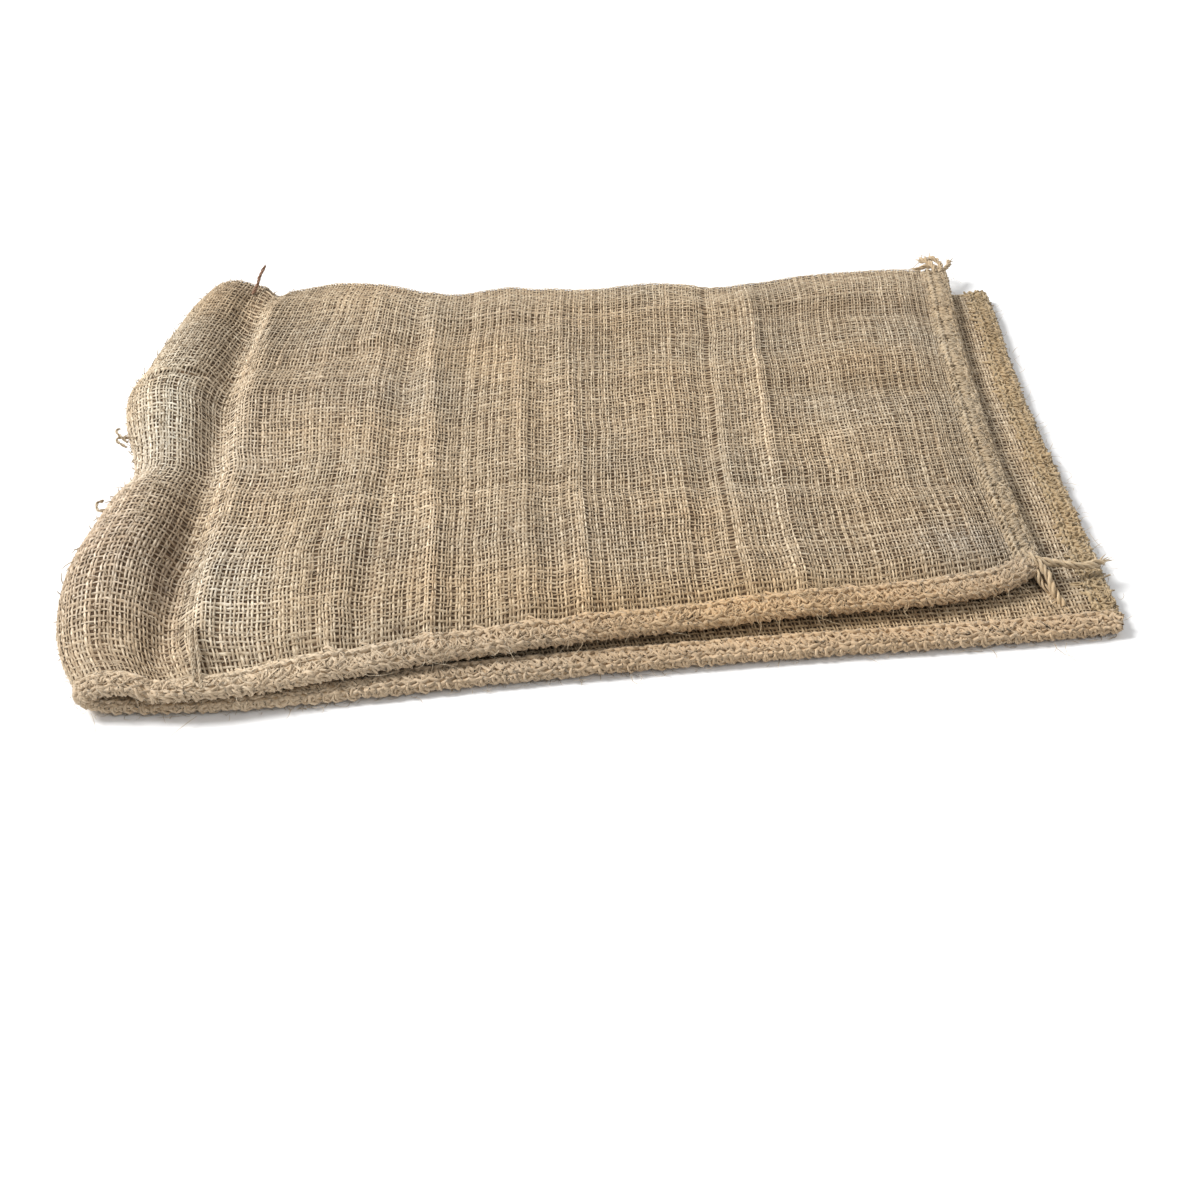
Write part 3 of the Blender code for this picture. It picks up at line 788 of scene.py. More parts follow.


# Patches that change the cloth's colour and lightness, some of them painted shade or highlight as marked, and
# single flecks
PATCHES = (
    # x, y, half-width along x, half-width along y, red, green, blue
    (0.06, -0.175, 0.095, 0.022, 1.1, 0.98, 0.8),
    (0.17, -0.136, 0.026, 0.017, 0.92, 0.96, 1.05),
    (0.178, 0.106, 0.06, 0.01, 0.86, 0.84, 0.82),
    (0.155, 0.016, 0.06, 0.011, 0.87, 0.86, 0.84),
    (-0.222, -0.09, 0.026, 0.075, 1.05, 1.03, 1.08),
    # painted shade: the far flap's slope, which faces away from the key lamp
    (-0.182, 0.158, 0.026, 0.026, 0.84, 0.81, 0.78),
    (-0.08, 0.155, 0.06, 0.012, 0.9, 0.87, 0.84),
    (-0.182, 0.01, 0.009, 0.12, 0.88, 0.84, 0.8),
    # painted highlight: the hump's lit face, here and in the next row
    (-0.155, -0.085, 0.015, 0.12, 1.22, 1.25, 1.32),
    (-0.153, -0.15, 0.022, 0.045, 1.2, 1.29, 1.4),
    (-0.205, -0.145, 0.02, 0.04, 1.18, 1.22, 1.3),
    (-0.198, 0.008, 0.018, 0.064, 1.36, 1.55, 1.8),
    (-0.118, 0.05, 0.045, 0.06, 0.91, 0.92, 0.95),
    (-0.186, -0.13, 0.009, 0.06, 0.88, 0.83, 0.8),
    (0.02, 0.06, 0.06, 0.07, 1.0, 0.98, 0.95),
    (0.1429, -0.0128, 0.0018, 0.0014, 1.7, 1.75, 1.9),
    (-0.185, -0.1424, 0.0022, 0.0022, 0.28, 0.24, 0.22),
    (-0.1766, -0.1734, 0.0026, 0.003, 0.42, 0.36, 0.32),
    (-0.0848, -0.1829, 0.0026, 0.0018, 0.4, 0.34, 0.3),
    (-0.041, -0.0122, 0.0014, 0.002, 0.45, 0.4, 0.36),
    (0.047, -0.03, 0.0018, 0.0014, 0.45, 0.4, 0.36),
    (-0.025, 0.095, 0.0014, 0.0018, 0.5, 0.44, 0.4),
)
# The same for the sewing: the near seam by the fold, lighter than the rest of the side seam, which is
# darkened partly as painted shade
SEAM_PATCHES = ((-0.160, -0.190, 0.060, 0.030, 1.30, 1.40, 1.52),)
CREASE_PAINTED_LIGHT = np.array([1.0, 1.02, 1.10])  # how much lighter each colour is where a crease has painted highlight, or darker where it has painted shade
SLOW_SHADE = 0.05  # slow uneven changes from light to dark
SLOW_WARMTH = 0.03  # and from warm to cool
WARM_TINT = np.array([1.0, 0.1, -1.2])
PLAIN = (1.0, 1.0, 1.0)


def tinted(thing, shade=PLAIN, sewn=False):
    """Colours a piece's points by a shade, the patches, some of them painted shade or highlight, the creases'
    painted highlight and shade, and slow uneven changes. Bluish patches are of the cloth only, not of the
    sewing."""
    mesh = thing.data
    points = np.empty(len(mesh.vertices) * 3, np.float32)
    mesh.vertices.foreach_get("co", points)
    x, y, _ = (points.reshape(-1, 3).astype(float) + ORIGIN).T
    layer = mesh.attributes["tint"]
    colour = np.empty(len(points), np.float32)
    layer.data.foreach_get("vector", colour)
    colour = colour.reshape(-1, 3) * np.array(shade)
    patches = SEAM_PATCHES + tuple(row for row in PATCHES if row[6] <= row[4]) if sewn else PATCHES
    for middle_x, middle_y, wide, deep, *change in patches:
        far = ((x - middle_x) / wide) ** 2 + ((y - middle_y) / deep) ** 2
        colour *= 1 + np.exp(-far)[:, None] * (np.array(change) - 1)
    # the creases' painted highlight and painted shade
    colour *= 1 + creased(x, y)[1][:, None] * CREASE_PAINTED_LIGHT
    colour *= 1 + SLOW_SHADE * ripple(x, y, 31, 0.11)[:, None]
    colour *= 1 + SLOW_WARMTH * ripple(x, y, 32, 0.07)[:, None] * WARM_TINT
    layer.data.foreach_set("vector", colour.astype(np.float32).ravel())


# ---------------- the cloth
SHOWN_FROM = (-0.20, -0.17)  # about where the upper half's crest and near side lie
SHOWN_END = 0.014  # how far in under the upper half's end the lower half's yarns are modelled
SHOWN_NEAR = 0.012
SHOWN_FAR = 0.010
SHOWN_ROUND = (0.006, 0.010)  # the same before the far fold and behind it
COVER_LEAD = 0.012  # how far before the fold its yarns set in
COVER_BAND = 0.004
COVER_BEHIND = 0.006  # how far behind the far fold they go on
GROUND_ROWS = (45, 175)  # of points: along the lower half, then round the fold and along the upper half
GROUND_COLUMNS = (84, 7, 36)  # over the outer ply, round the far fold, over the inner ply


def lower_shows(points, s, across):
    """Where the lower half's top ply isn't hidden under the upper half."""
    x, y = points[..., 0] + CENTRE[0], points[..., 1] + CENTRE[1]
    share = np.clip((y - SHOWN_FROM[1]) / WIDTH, 0, 1)
    along = np.clip((x - SHOWN_FROM[0]) / UPPER_LENGTH, 0, 1)
    past_end = x > column(ENDS, 1, share) - SHOWN_END
    past_near = y < column(SIDES, 1, along) + SHOWN_NEAR
    past_far = y > column(SIDES, 2, along) - SHOWN_FAR
    round_far = (across > WIDTH - SHOWN_ROUND[0]) & (across < WIDTH + HAIRPIN + SHOWN_ROUND[1])
    top = across > WIDTH + HAIRPIN / 2
    return (top & (past_end | past_near | past_far)) | round_far


def covered_here(points, s, across):
    """1 where yarns are modelled over the ground and it takes its painted shade, 0 elsewhere."""
    from_far = across - WIDTH - HAIRPIN
    top = ease(s - LOWER_LENGTH + COVER_LEAD, COVER_BAND) * (1 - ease(from_far, COVER_BEHIND))
    return np.maximum(top, lower_shows(points, s, across) & (s < LOWER_LENGTH))


def ground_cloth():
    """The whole sack as one thin sheet, folded lengthways and across, just under the yarns; dark there as
    painted shade.
    """
    s = np.concatenate([np.linspace(0, LOWER_LENGTH, GROUND_ROWS[0])[:-1],
                        np.linspace(LOWER_LENGTH, LENGTH, GROUND_ROWS[1])])
    across = np.concatenate([np.linspace(0, WIDTH, GROUND_COLUMNS[0])[:-1],
                             np.linspace(WIDTH, WIDTH + HAIRPIN, GROUND_COLUMNS[1]),
                             np.linspace(WIDTH + HAIRPIN, GIRTH, GROUND_COLUMNS[2])[1:]])
    s, across = np.meshgrid(s, across, indexing="ij")
    points = cloth_point(s, across)
    normal = unit(np.cross(unit(np.gradient(points, axis=0)), unit(np.gradient(points, axis=1))))
    covered = covered_here(points, s, across)
    lift = blend(GROUND_DEPTH, -GROUND_DEPTH, covered)
    points = off_floor(points + normal * lift[..., None], GROUND_HEIGHT)
    gathered = Strips()
    gathered.add(points[None], joined(s, across, covered)[None], joined(s / LENGTH, across / GIRTH)[None])
    sheet = gathered.piece("sack_ground", "hessian", ground_material(), mark="cloth", flip=True)
    thick = sheet.modifiers.new("thickness", "SOLIDIFY")
    thick.thickness = GROUND_THICKNESS
    thick.offset = -1
    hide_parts("sack_cloth")
    return sheet


# ---------------- the seams
def power(value, exponent):
    return np.sign(value) * np.abs(value) ** exponent


class Edge:
    """An edge of the sack that is whipped over. at is a distance along it, and inside is a distance in from
    the cloth's edge, or out from it where negative. pitch is from one stitch to the next, ply is the radius
    of the sewing yarn's plies, roll is how much of the seams' full roll it has, proud is from the middle of
    the cloth to the middle of the sewing yarn on it, and depth scales the stitches. facing is 1 where the
    side that shows is the one that middle's up points from, and 0 where it's the other."""

    def __init__(self, last, place, pitch, ply, roll=1.0, proud=0.0028, depth=lambda at: 1.0,
                 facing=lambda at: 1.0):
        self.last, self.place, self.pitch, self.ply = last, place, pitch, ply
        self.roll, self.proud, self.depth, self.facing = roll, proud, depth, facing

    def stations(self, step, overrun):
        """Distances about a step apart, from a little before the edge's start to a little past its end."""
        return np.linspace(-overrun, self.last + overrun, int(self.last / step))

    def middle(self, at, inside):
        """A point in the middle of the cloth, or of the air beyond its edge, with up and along there."""
        held = np.clip(at, 0, self.last)
        edge = self.place(held, np.zeros_like(held))
        ahead = self.place(np.minimum(held + REACH, self.last), np.zeros_like(held))
        behind = self.place(np.maximum(held - REACH, 0), np.zeros_like(held))
        along = unit(ahead - behind)
        inward_run = unit(self.place(held, np.full_like(held, 2 * REACH)) - edge)
        up = unit(np.cross(along, inward_run))
        inward_run = np.cross(up, along)
        over = np.where((inside > 0)[..., None], self.place(held, np.maximum(inside, 0)), edge)
        here = over + inward_run * np.minimum(inside, 0)[..., None] + along * (at - held)[..., None]
        return here, up, along

    def section(self, angle, reach, beyond, square):
        """How far inside the edge the seam's section is at an angle round it: from reach inside the edge to
        beyond the roll's middle, and squarer where square is smaller."""
        outside = ROLL_OUT * self.roll + beyond
        return (reach - outside) / 2 + (reach + outside) / 2 * power(np.cos(angle), square)


def side_edge():
    """The near edge. Its stitches are short round the fold, where the cloth is gathered."""
    return Edge(LENGTH, plies_middle, STITCH_PITCH, STITCH_PLY,
                depth=lambda at: blend(0.55, 1, ease(np.abs(at - CREST) - 0.03, 0.05)),
                facing=lambda at: ease(at - LOWER_LENGTH - 0.012, 0.024))


def bottom_edge():
    return Edge(WIDTH, lambda at, inside: plies_middle(LENGTH - inside, at), 0.0038, THIN_PLY, proud=0.0026)


def mouth_edge():
    """The mouth's edge of the ply that shows above the other one, from the far fold to the near side."""
    return Edge(WIDTH - 0.004, lambda at, inside: cloth_point(inside, WIDTH + HAIRPIN + at), 0.0045, THIN_PLY,
                roll=0.2, proud=0.0016, facing=lambda at: 0.0)


THIN_PLY = 0.00046  # radius of a ply of the thinner yarn at the bottom and the mouth
STITCH_OVERRUN = 0.002  # how far the stitches go on past a seam's ends
STITCH_OUT = 0.0022  # from the roll's middle out to a stitch round it
STITCH_SQUARE = 0.8  # how round the stitches' section is: 1 is an ellipse, and less is squarer
STITCH_SINK = 0.0009  # how much lower than the seam's full height the stitches lie
STITCH_LIFT = 0.0003  # between the sewing yarn and the floor
STITCH_TWIST = 0.011  # length of a turn of its plies
STITCH_RUN = 0.024  # about the length of yarn once round the seam
BITE_ERROR = 0.0018  # how much the stitches' bites differ
PLACE_ERROR = 0.0009  # and their places
LEAN_ERROR = 0.0014  # and how far they lean
RISE_ERROR = 0.0003  # and their heights
ROLL_SIDES = 16
ROLL_STEP = 0.0012
ROLL_REACH = 0.0074  # how far in from the cloth's edge the filled part of a seam goes
ROLL_OVERRUN = 0.001  # how far it goes on past a seam's ends
ROLL_SQUARE = 0.7
ROLL_FILL = 0.0013  # from the roll's middle out to the filling's outside
ROLL_SINK = 0.0006
ROLL_LUMPS = 0.08
CHAIN_STEP = 0.0009
CHAIN_INSIDE = 0.0006  # middle of the stitches' chain, in from the cloth's edge
CHAIN_REACH = 0.0030  # how far the chain's strands swing to each side of it
CHAIN_RISE = 0.0004  # how far they go over and under each other, and how uneven their height is
CHAIN_BOW = 0.0013  # how far they lean along the seam
CHAIN_DROP = 0.0044  # distance out from the roll's middle over which they fall to the cloth
CHAIN_TWIST = 0.0085
CHAIN_DRIFT = 0.0006
CURL_STEP = 0.0009
CURL_RADIUS = 0.00082
CURL_ANGLES = (28, 60, 92, 124, 156, 184)  # degrees round the seam's section
CURL_SWING = 14  # degrees to each side of them
CURL_REACH = ROLL_REACH + 0.0006
CURL_OUT = 0.0014  # from the roll's middle out to the curls there
CURL_BOW = 0.0009
CURL_SINK = 0.0001
CURL_ROUGH = 0.0003  # how uneven their height is
CAD_SEAMS = ("side_seam", "bottom_seam")  # the mouth's hem is part of the cloth's solid


def whipping(gathered, edge, draw):
    """The sewing yarn round the edge, turn after turn, leaning and uneven."""
    turns = int((edge.last + 2 * STITCH_OVERRUN) / edge.pitch)
    turn = np.linspace(0, turns, turns * STITCH_POINTS + 1)
    whole = np.arange(turns + 2)

    def uneven(middle, spread):
        return np.interp(turn, whole, middle + draw.normal(0, spread, turns + 2))
    angle = turn * 2 * math.pi
    at = -STITCH_OVERRUN + turn * edge.pitch
    inside = edge.section(angle, uneven(BITE, BITE_ERROR) * edge.depth(at), STITCH_OUT, STITCH_SQUARE)
    at = at + uneven(0, PLACE_ERROR) - uneven(STITCH_LEAN, LEAN_ERROR) * power(np.cos(angle), 1.4)
    here, up, along = edge.middle(at, inside)
    proud = edge.proud - STITCH_SINK + uneven(0, RISE_ERROR)
    path = off_floor(here + up * (proud * power(np.sin(angle), 0.6))[..., None], edge.ply + STITCH_LIFT)
    facing = np.cross(unit(np.gradient(path, axis=0)), along)
    laid = plied(path[None], edge.ply, STITCH_TWIST, 2, STITCH_SPREAD, 0.0, facing[None], STITCH_FLAT)
    frizzy(gathered, laid, edge.ply, turn * STITCH_RUN, 201, 0.0055, 6, draw)


def chain(gathered, edge, draw):
    """The chain that the stitches leave on the upper side: two strands that cross over each other."""
    at = edge.stations(CHAIN_STEP, STITCH_OVERRUN)
    wave = (at / edge.pitch + 0.45 * ripple(at, 0, 51, 0.02)) * 2 * math.pi
    for sign in (1, -1):
        swing = CHAIN_REACH * sign * np.sin(wave) * (1 + 0.25 * ripple(at, 0, 52 + sign, 0.012))
        inside = CHAIN_INSIDE + swing + CHAIN_DRIFT * ripple(at, 0, 57, 0.025)
        bow = CHAIN_BOW * sign * np.sin(2 * wave)
        here, up, _ = edge.middle(at + bow, inside * edge.depth(at))
        rise = CHAIN_RISE * sign * np.cos(wave)
        tall = edge.proud - CHAIN_RISE + rise + CHAIN_RISE * ripple(at, 0, 56 + sign, 0.01)
        tall = tall * np.sqrt(np.clip(1 - (np.minimum(inside + ROLL_OUT, 0) / CHAIN_DROP) ** 2, 0, 1))
        path = off_floor(here + up * (tall * (2 * edge.facing(at) - 1))[..., None], edge.ply + STITCH_LIFT)
        laid = plied(path[None], edge.ply, CHAIN_TWIST, 2, 1.3, 0.3 * sign, up[None], 0.6)
        frizzy(gathered, laid, edge.ply, at, 231, 0.0045, 8, draw)


def roll(gathered, edge):
    """The cloth's edges turned in, and the felted yarn that fills the seam between the stitches."""
    at = edge.stations(ROLL_STEP, ROLL_OVERRUN)[:, None]
    angle = np.arange(ROLL_SIDES)[None, :] * 2 * math.pi / ROLL_SIDES
    around = angle * 0.006
    lump = 1 + ROLL_LUMPS * ripple(at, around, 61, 0.006) + ROLL_LUMPS * ripple(at, around, 62, 0.0025)
    reach = ROLL_REACH * edge.depth(at) * (1 + 0.10 * ripple(at, 0, 63, 0.012))
    inside = edge.section(angle, reach, ROLL_FILL, ROLL_SQUARE)
    here, up, _ = edge.middle(at + 0 * inside, inside)
    tall = (edge.proud - ROLL_SINK) * power(np.sin(angle), ROLL_SQUARE) * lump
    rows = off_floor(here + up * tall[..., None], FLOOR_GAP)
    marks = joined(at, angle * 0.002, 0.4)
    places = joined(np.linspace(0, 1, len(at))[:, None], np.linspace(0, 1, ROLL_SIDES)[None, :])
    gathered.add(rows[None], marks[None], places[None], closed=True)


def curls(gathered, edge, draw):
    """Curly strands that run along the seam between its stitches, from its inner side over to the outside."""
    at = edge.stations(CURL_STEP, ROLL_OVERRUN)
    reach = CURL_REACH * edge.depth(at)
    for number, middle in enumerate(CURL_ANGLES):
        wave = at / edge.pitch * 2 * math.pi * draw.uniform(0.9, 1.1) + draw.uniform(0, 6)
        wave = wave + 1.6 * ripple(at, 0, 251 + number, 0.016)
        angle = np.radians(middle + CURL_SWING * np.sin(wave) * (1 + 0.3 * ripple(at, 0, 261 + number, 0.01)))
        angle = blend(2 * math.pi - angle, angle, edge.facing(at))
        inside = edge.section(angle, reach, CURL_OUT, ROLL_SQUARE)
        here, up, _ = edge.middle(at + CURL_BOW * np.sin(2 * wave), inside)
        tall = edge.proud - CURL_SINK + CURL_ROUGH * ripple(at, 0, 271 + number, 0.005)
        path = off_floor(here + up * (tall * power(np.sin(angle), ROLL_SQUARE))[..., None], CURL_RADIUS)
        strands(gathered, path[None], CURL_RADIUS * slubs(draw, 1, len(at), 6, 0.25), 5, draw)


def seam(name, edge, seed):
    draw = np.random.default_rng(seed)
    core = Strips()
    roll(core, edge)
    under = core.piece(f"{name}_roll", "jute_yarn", stitch_material())
    sewn = Strips()
    whipping(sewn, edge, draw)
    chain(sewn, edge, draw)
    curls(sewn, edge, draw)
    over = sewn.piece(f"{name}_stitches", "jute_yarn", stitch_material())
    if name in CAD_SEAMS:
        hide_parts(name)
    return [under, over]


# ---------------- loose ends
END_POINTS = 40
WISP_POINTS = 9
END_PLY = 0.8  # radius of each of a cut end's three plies, as a share of the yarn's
FLATTER = np.array([1, 1, 0.7])  # fibres spread less upwards
FLAT_CURL = np.array([1, 1, 0.4])


def frayed_end(gathered, knots, ply, turn, draw, splay, length, count):
    """A twisted yarn along knots that opens into bundles of fibres at its end."""
    path = curve_through(knots, END_POINTS)
    for each in plied(path[None], ply * END_PLY, turn * 1.4, 3, 1.15):
        run = np.linspace(0, 0.03, END_POINTS)
        stray = joined(*(ripple(run + start, 0, 281, 0.007) for start in draw.uniform(0, 1, 3)))
        radii = ply * END_PLY * slubs(draw, 1, END_POINTS, 4, 0.2)
        strands(gathered, (each + FRIZZ * stray)[None], radii, 5, draw)
    end, way = path[-1], unit(path[-1] - path[-3])
    steps = np.linspace(0, 1, WISP_POINTS)[:, None]
    for _ in range(count):
        lean = unit(way + draw.normal(0, splay, 3) * FLATTER)
        reach = length * draw.uniform(0.6, 1.2)
        curl = draw.normal(0, 0.25, 3) * FLAT_CURL
        wisp = end - way * 0.0015 + reach * (lean * steps + curl * steps ** 2 * 0.5)
        radii = ply * draw.uniform(0.35, 0.6) * np.linspace(1, 0.25, WISP_POINTS)
        strands(gathered, wisp[None], radii, 4, draw)


NEAR_ENDS = (
    # places from the corner, then radius, length of a turn, splay, length and number of the open fibres
    (((-0.004, 0.005, 0.0032), (0.001, -0.001, 0.003), (0.004, -0.01, 0.0008),
      (0.0055, -0.018, -0.003), (0.008, -0.025, -0.0066)), 0.00115, 0.01, 0.5, 0.008, 9),
    (((-0.002, 0.001, 0.003), (0.006, -0.003, 0.0028), (0.015, -0.005, 0.0022),
      (0.0235, -0.0048, 0.0012), (0.031, -0.001, 0.0)), 0.0011, 0.0085, 0.38, 0.0065, 10),
    (((-0.003, -0.002, -0.001), (0.004, -0.007, -0.003), (0.006, -0.014, -0.0052),
      (0.003, -0.02, -0.007), (0.006, -0.026, -0.0078)), 0.00095, 0.008, 0.5, 0.007, 8),
    (((-0.006, 0.003, 0.003), (-0.001, -0.005, 0.0012), (0.002, -0.013, -0.003),
      (0.0065, -0.018, -0.0058), (0.0035, -0.024, -0.0072)), 0.001, 0.009, 0.55, 0.007, 8),
)
# The same at the far corner
FAR_ENDS = tuple((knots, 0.0009, 0.0075, 0.45, 0.006, 6) for knots in (
    ((0.0, -0.004, 0.002), (0.003, 0.003, 0.003), (0.003, 0.010, 0.0035), (-0.001, 0.016, 0.003)),
    ((0.001, -0.003, 0.002), (0.0, 0.003, 0.003), (-0.005, 0.005, 0.003), (-0.0115, 0.004, 0.0015)),
    ((0.001, -0.002, 0.002), (0.006, 0.003, 0.0025), (0.009, 0.008, 0.002), (0.010, 0.0125, 0.002)),
    ((-0.002, -0.004, 0.003), (-0.002, 0.002, 0.004), (-0.004, 0.009, 0.004), (-0.007, 0.014, 0.003)),
))


def corner_yarn(name, across, ends, draw):
    """The ends of a seam's yarn at one corner of the bottom."""
    gathered = Strips()
    corner = plies_middle(np.array(LENGTH), np.array(across))
    for knots, ply, turn, splay, length, count in ends:
        frayed_end(gathered, corner + np.array(knots), ply, turn, draw, splay, length, count)
    return gathered.piece(name, "jute_yarn", stitch_material())


def loose_ends():
    """The ends of the seams' yarn at both corners of the bottom."""
    draw = np.random.default_rng(71)
    tail = corner_yarn("near_corner_yarn", 0.0, NEAR_ENDS, draw)
    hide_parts("near_corner_tail")
    tuft = corner_yarn("far_corner_yarn", WIDTH, FAR_ENDS, draw)
    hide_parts("far_corner_tail")
    return [tail, tuft]


FRAY_POINTS = 8
FRAY_RADIUS = 0.00062
FRAY_HEIGHT = 0.0008  # lowest that a frayed end lies


def mouth_fray():
    """Cut yarn ends that curl out of the mouth's edge on both plies."""
    draw = np.random.default_rng(81)
    lines = np.arange(0.5, WIDTH / ALONG_PITCH)
    across = np.concatenate([lines, (WIDTH + HAIRPIN) / ALONG_PITCH + lines]) * ALONG_PITCH
    count = len(across)
    base = cloth_point(np.full_like(across, REACH), across)
    way = unit(cloth_point(np.zeros_like(across), across) - base)
    level = unit(np.cross(way, (0.0, 0.0, 1.0)))
    reach = draw.uniform(0.003, 0.0065, count)
    share = np.linspace(0, 1, FRAY_POINTS)
    bearing = draw.normal(0, 0.35, count)[:, None] + share * draw.normal(0, 1.6, (count, 1))
    step = (reach / (FRAY_POINTS - 1))[:, None, None]
    run = np.cos(bearing)[..., None] * way[:, None] + np.sin(bearing)[..., None] * level[:, None]
    path = base[:, None] + np.cumsum(run * step, 1)
    path[..., 2] += draw.normal(0, 0.0008, (count, 1)) * share
    gathered = Strips()
    strands(gathered, off_floor(path, FRAY_HEIGHT), FRAY_RADIUS * np.linspace(1.1, 0.6, FRAY_POINTS), 5, draw)
    return gathered.piece("mouth_fray", "hessian", yarn_material())


# Yarns that have worked loose, as places (x, y) on the cloth and heights above it
STRAY_YARNS = (
    ((-0.1702, -0.18, 0.0012), (-0.1694, -0.19, 0.002),
     (-0.1682, -0.201, 0.0022), (-0.1668, -0.214, 0.0016)),
    ((-0.1684, -0.179, 0.001), (-0.1674, -0.19, 0.0018),
     (-0.1655, -0.202, 0.002), (-0.164, -0.215, 0.0012)),
    ((-0.216, -0.081, -0.001), (-0.2215, -0.0775, 0.0006),
     (-0.2228, -0.072, 0.0016), (-0.2205, -0.0685, 0.0012)),
    ((-0.217, -0.011, -0.001), (-0.2215, -0.0085, 0.0008),
     (-0.221, -0.005, 0.0004), (-0.2165, -0.003, -0.001)),
    ((-0.217, -0.007, -0.001), (-0.221, -0.004, 0.0012),
     (-0.2225, -0.001, 0.0016), (-0.2215, 0.0015, 0.0012)),
)
DARK_THREAD = ((-0.166, 0.156, 0.0004), (-0.163, 0.161, 0.004),
               (-0.1608, 0.164, 0.0085), (-0.158, 0.1655, 0.0128))
DARK = (0.5, 0.36, 0.34)  # its shade
STRAY_RADIUS = 0.00042
NIBS = 420
NIB_POINTS = 6
NIB_RADIUS = 0.00034
NIB_HEIGHT = 0.0005  # lowest that a nib lies


def above_cloth(knots):
    """Points over the top ply at places (x, y), each raised by its own height."""
    rows = np.linspace(LOWER_LENGTH + 0.6 * FOLD_LENGTH, CREST + 0.06, 180)
    s, across = np.meshgrid(rows, np.linspace(0, WIDTH, 500), indexing="ij")
    top = cloth_point(s, across)
    made = []
    for x, y, lift in knots:
        x, y = x - CENTRE[0], y - CENTRE[1]
        far = np.hypot(top[..., 0] - x, top[..., 1] - y)
        made.append((x, y, top[..., 2].flat[np.argmin(far)] + lift))
    return np.array(made)


def nibs(gathered, draw):
    """Short ends of yarns that stand out of the fold and out of its far corner."""
    each = (NIBS, 1, 1)
    s = LOWER_LENGTH + FOLD_LENGTH * draw.uniform(0.35, 1.7, (NIBS, 1))
    across = np.clip(WIDTH * draw.uniform(0.04, 1.06, (NIBS, 1)), 0, WIDTH + HAIRPIN / 2)
    base = cloth_point(s, across)
    ahead, aside = cloth_point(s + 0.001, across) - base, cloth_point(s, across + 0.001) - base
    up = unit(np.cross(ahead, aside))
    lean = draw.normal(0, 0.9, each) * unit(ahead) + draw.normal(0, 0.9, each) * unit(aside)
    rise = np.linspace(-0.3, 1, NIB_POINTS)[None, :, None]
    path = base + draw.uniform(0.0009, 0.0024, each) * (up * rise + lean * rise ** 2)
    strands(gathered, off_floor(path, NIB_HEIGHT), NIB_RADIUS * np.linspace(1.1, 0.5, NIB_POINTS), 4, draw)


def strays():
    """Yarns pulled out of the cloth, and one dark twisted thread caught at its far corner."""
    draw = np.random.default_rng(101)
    pulled = Strips()
    for knots in STRAY_YARNS:
        path = curve_through(above_cloth(knots), 30)[None]
        strands(pulled, plied(path, STRAY_RADIUS, 0.006), STRAY_RADIUS, 6, draw)
    nibs(pulled, draw)
    pulled.piece("stray_yarns", "hessian", yarn_material())
    caught = Strips()
    frayed_end(caught, above_cloth(DARK_THREAD), 0.00055, 0.005, draw, 0.35, 0.003, 3)
    tinted(caught.piece("dark_thread", "jute_yarn", stitch_material()), DARK)


HAIR_POINTS = 6
HAIR_TAPER = np.array([0.7, 1, 1, 1, 0.8, 0.3])[None, :, None]
HAIR_SIDES = np.array([-1.0, 1.0])
HAIR_WIDTH = 0.0002
HAIR_HEIGHT = 0.0003  # lowest that a hair lies
CLOTH_HAIRS = 3600
CLOTH_HAIR = 0.006  # mean length
CLOTH_LIFT = 0.0006
CLOTH_ARCH = 0.001  # most that a hair's middle stands above its ends
STANDING = 0.06  # share of the cloth's hairs that stand out of it
SEAM_HAIRS = 1400  # a metre of seam
SEAM_HAIR = 0.005
SEAM_LIFT = 0.0009
SEAM_ARCH = 0.0016
SEAM_HAIRS_FROM = -0.0065  # across the seam, in from the cloth's edge
SEAM_HAIRS_TO = 0.0095
SEAM_DROP = 0.0085  # distance out from the edge over which they come down to the middle's height


def hairs(gathered, paths, up, draw):
    """Flat single fibres along paths (fibres, points, 3), lying square to up."""
    paths = off_floor(paths, HAIR_HEIGHT)
    count = len(paths)
    side = unit(np.cross(np.gradient(paths, axis=1), up))
    half = HAIR_WIDTH / 2 * HAIR_TAPER * draw.uniform(0.6, 1.3, (count, 1, 1)) * HAIR_SIDES
    rows = paths[:, :, None] + side[:, :, None] * half[..., None]
    length = np.linspace(0, 0.01, HAIR_POINTS)[None, :, None]
    marks = joined(length, half, draw.uniform(0, 1, (count, 1, 1)))
    cells = math.ceil(math.sqrt(count))
    cell = np.arange(count)[:, None, None]
    u = (cell % cells + np.linspace(0.1, 0.9, HAIR_POINTS)[None, :, None]) / cells
    v = (cell // cells + np.array([0.2, 0.8])) / cells
    gathered.add(rows, marks, joined(u, v))


def wandering(draw, count, mean):
    """Steps of curling fibres of about a mean length, as two coordinates from each one's start."""
    reach = draw.gamma(2.2, mean / 2.2, count) + 0.0015
    share = np.linspace(0, 1, HAIR_POINTS)
    bearing = draw.uniform(0, 2 * math.pi, (count, 1)) + draw.normal(0, 1.6, (count, 1)) * share
    step = reach[:, None] / (HAIR_POINTS - 1)
    return np.cumsum(np.cos(bearing) * step, 1), np.cumsum(np.sin(bearing) * step, 1), reach


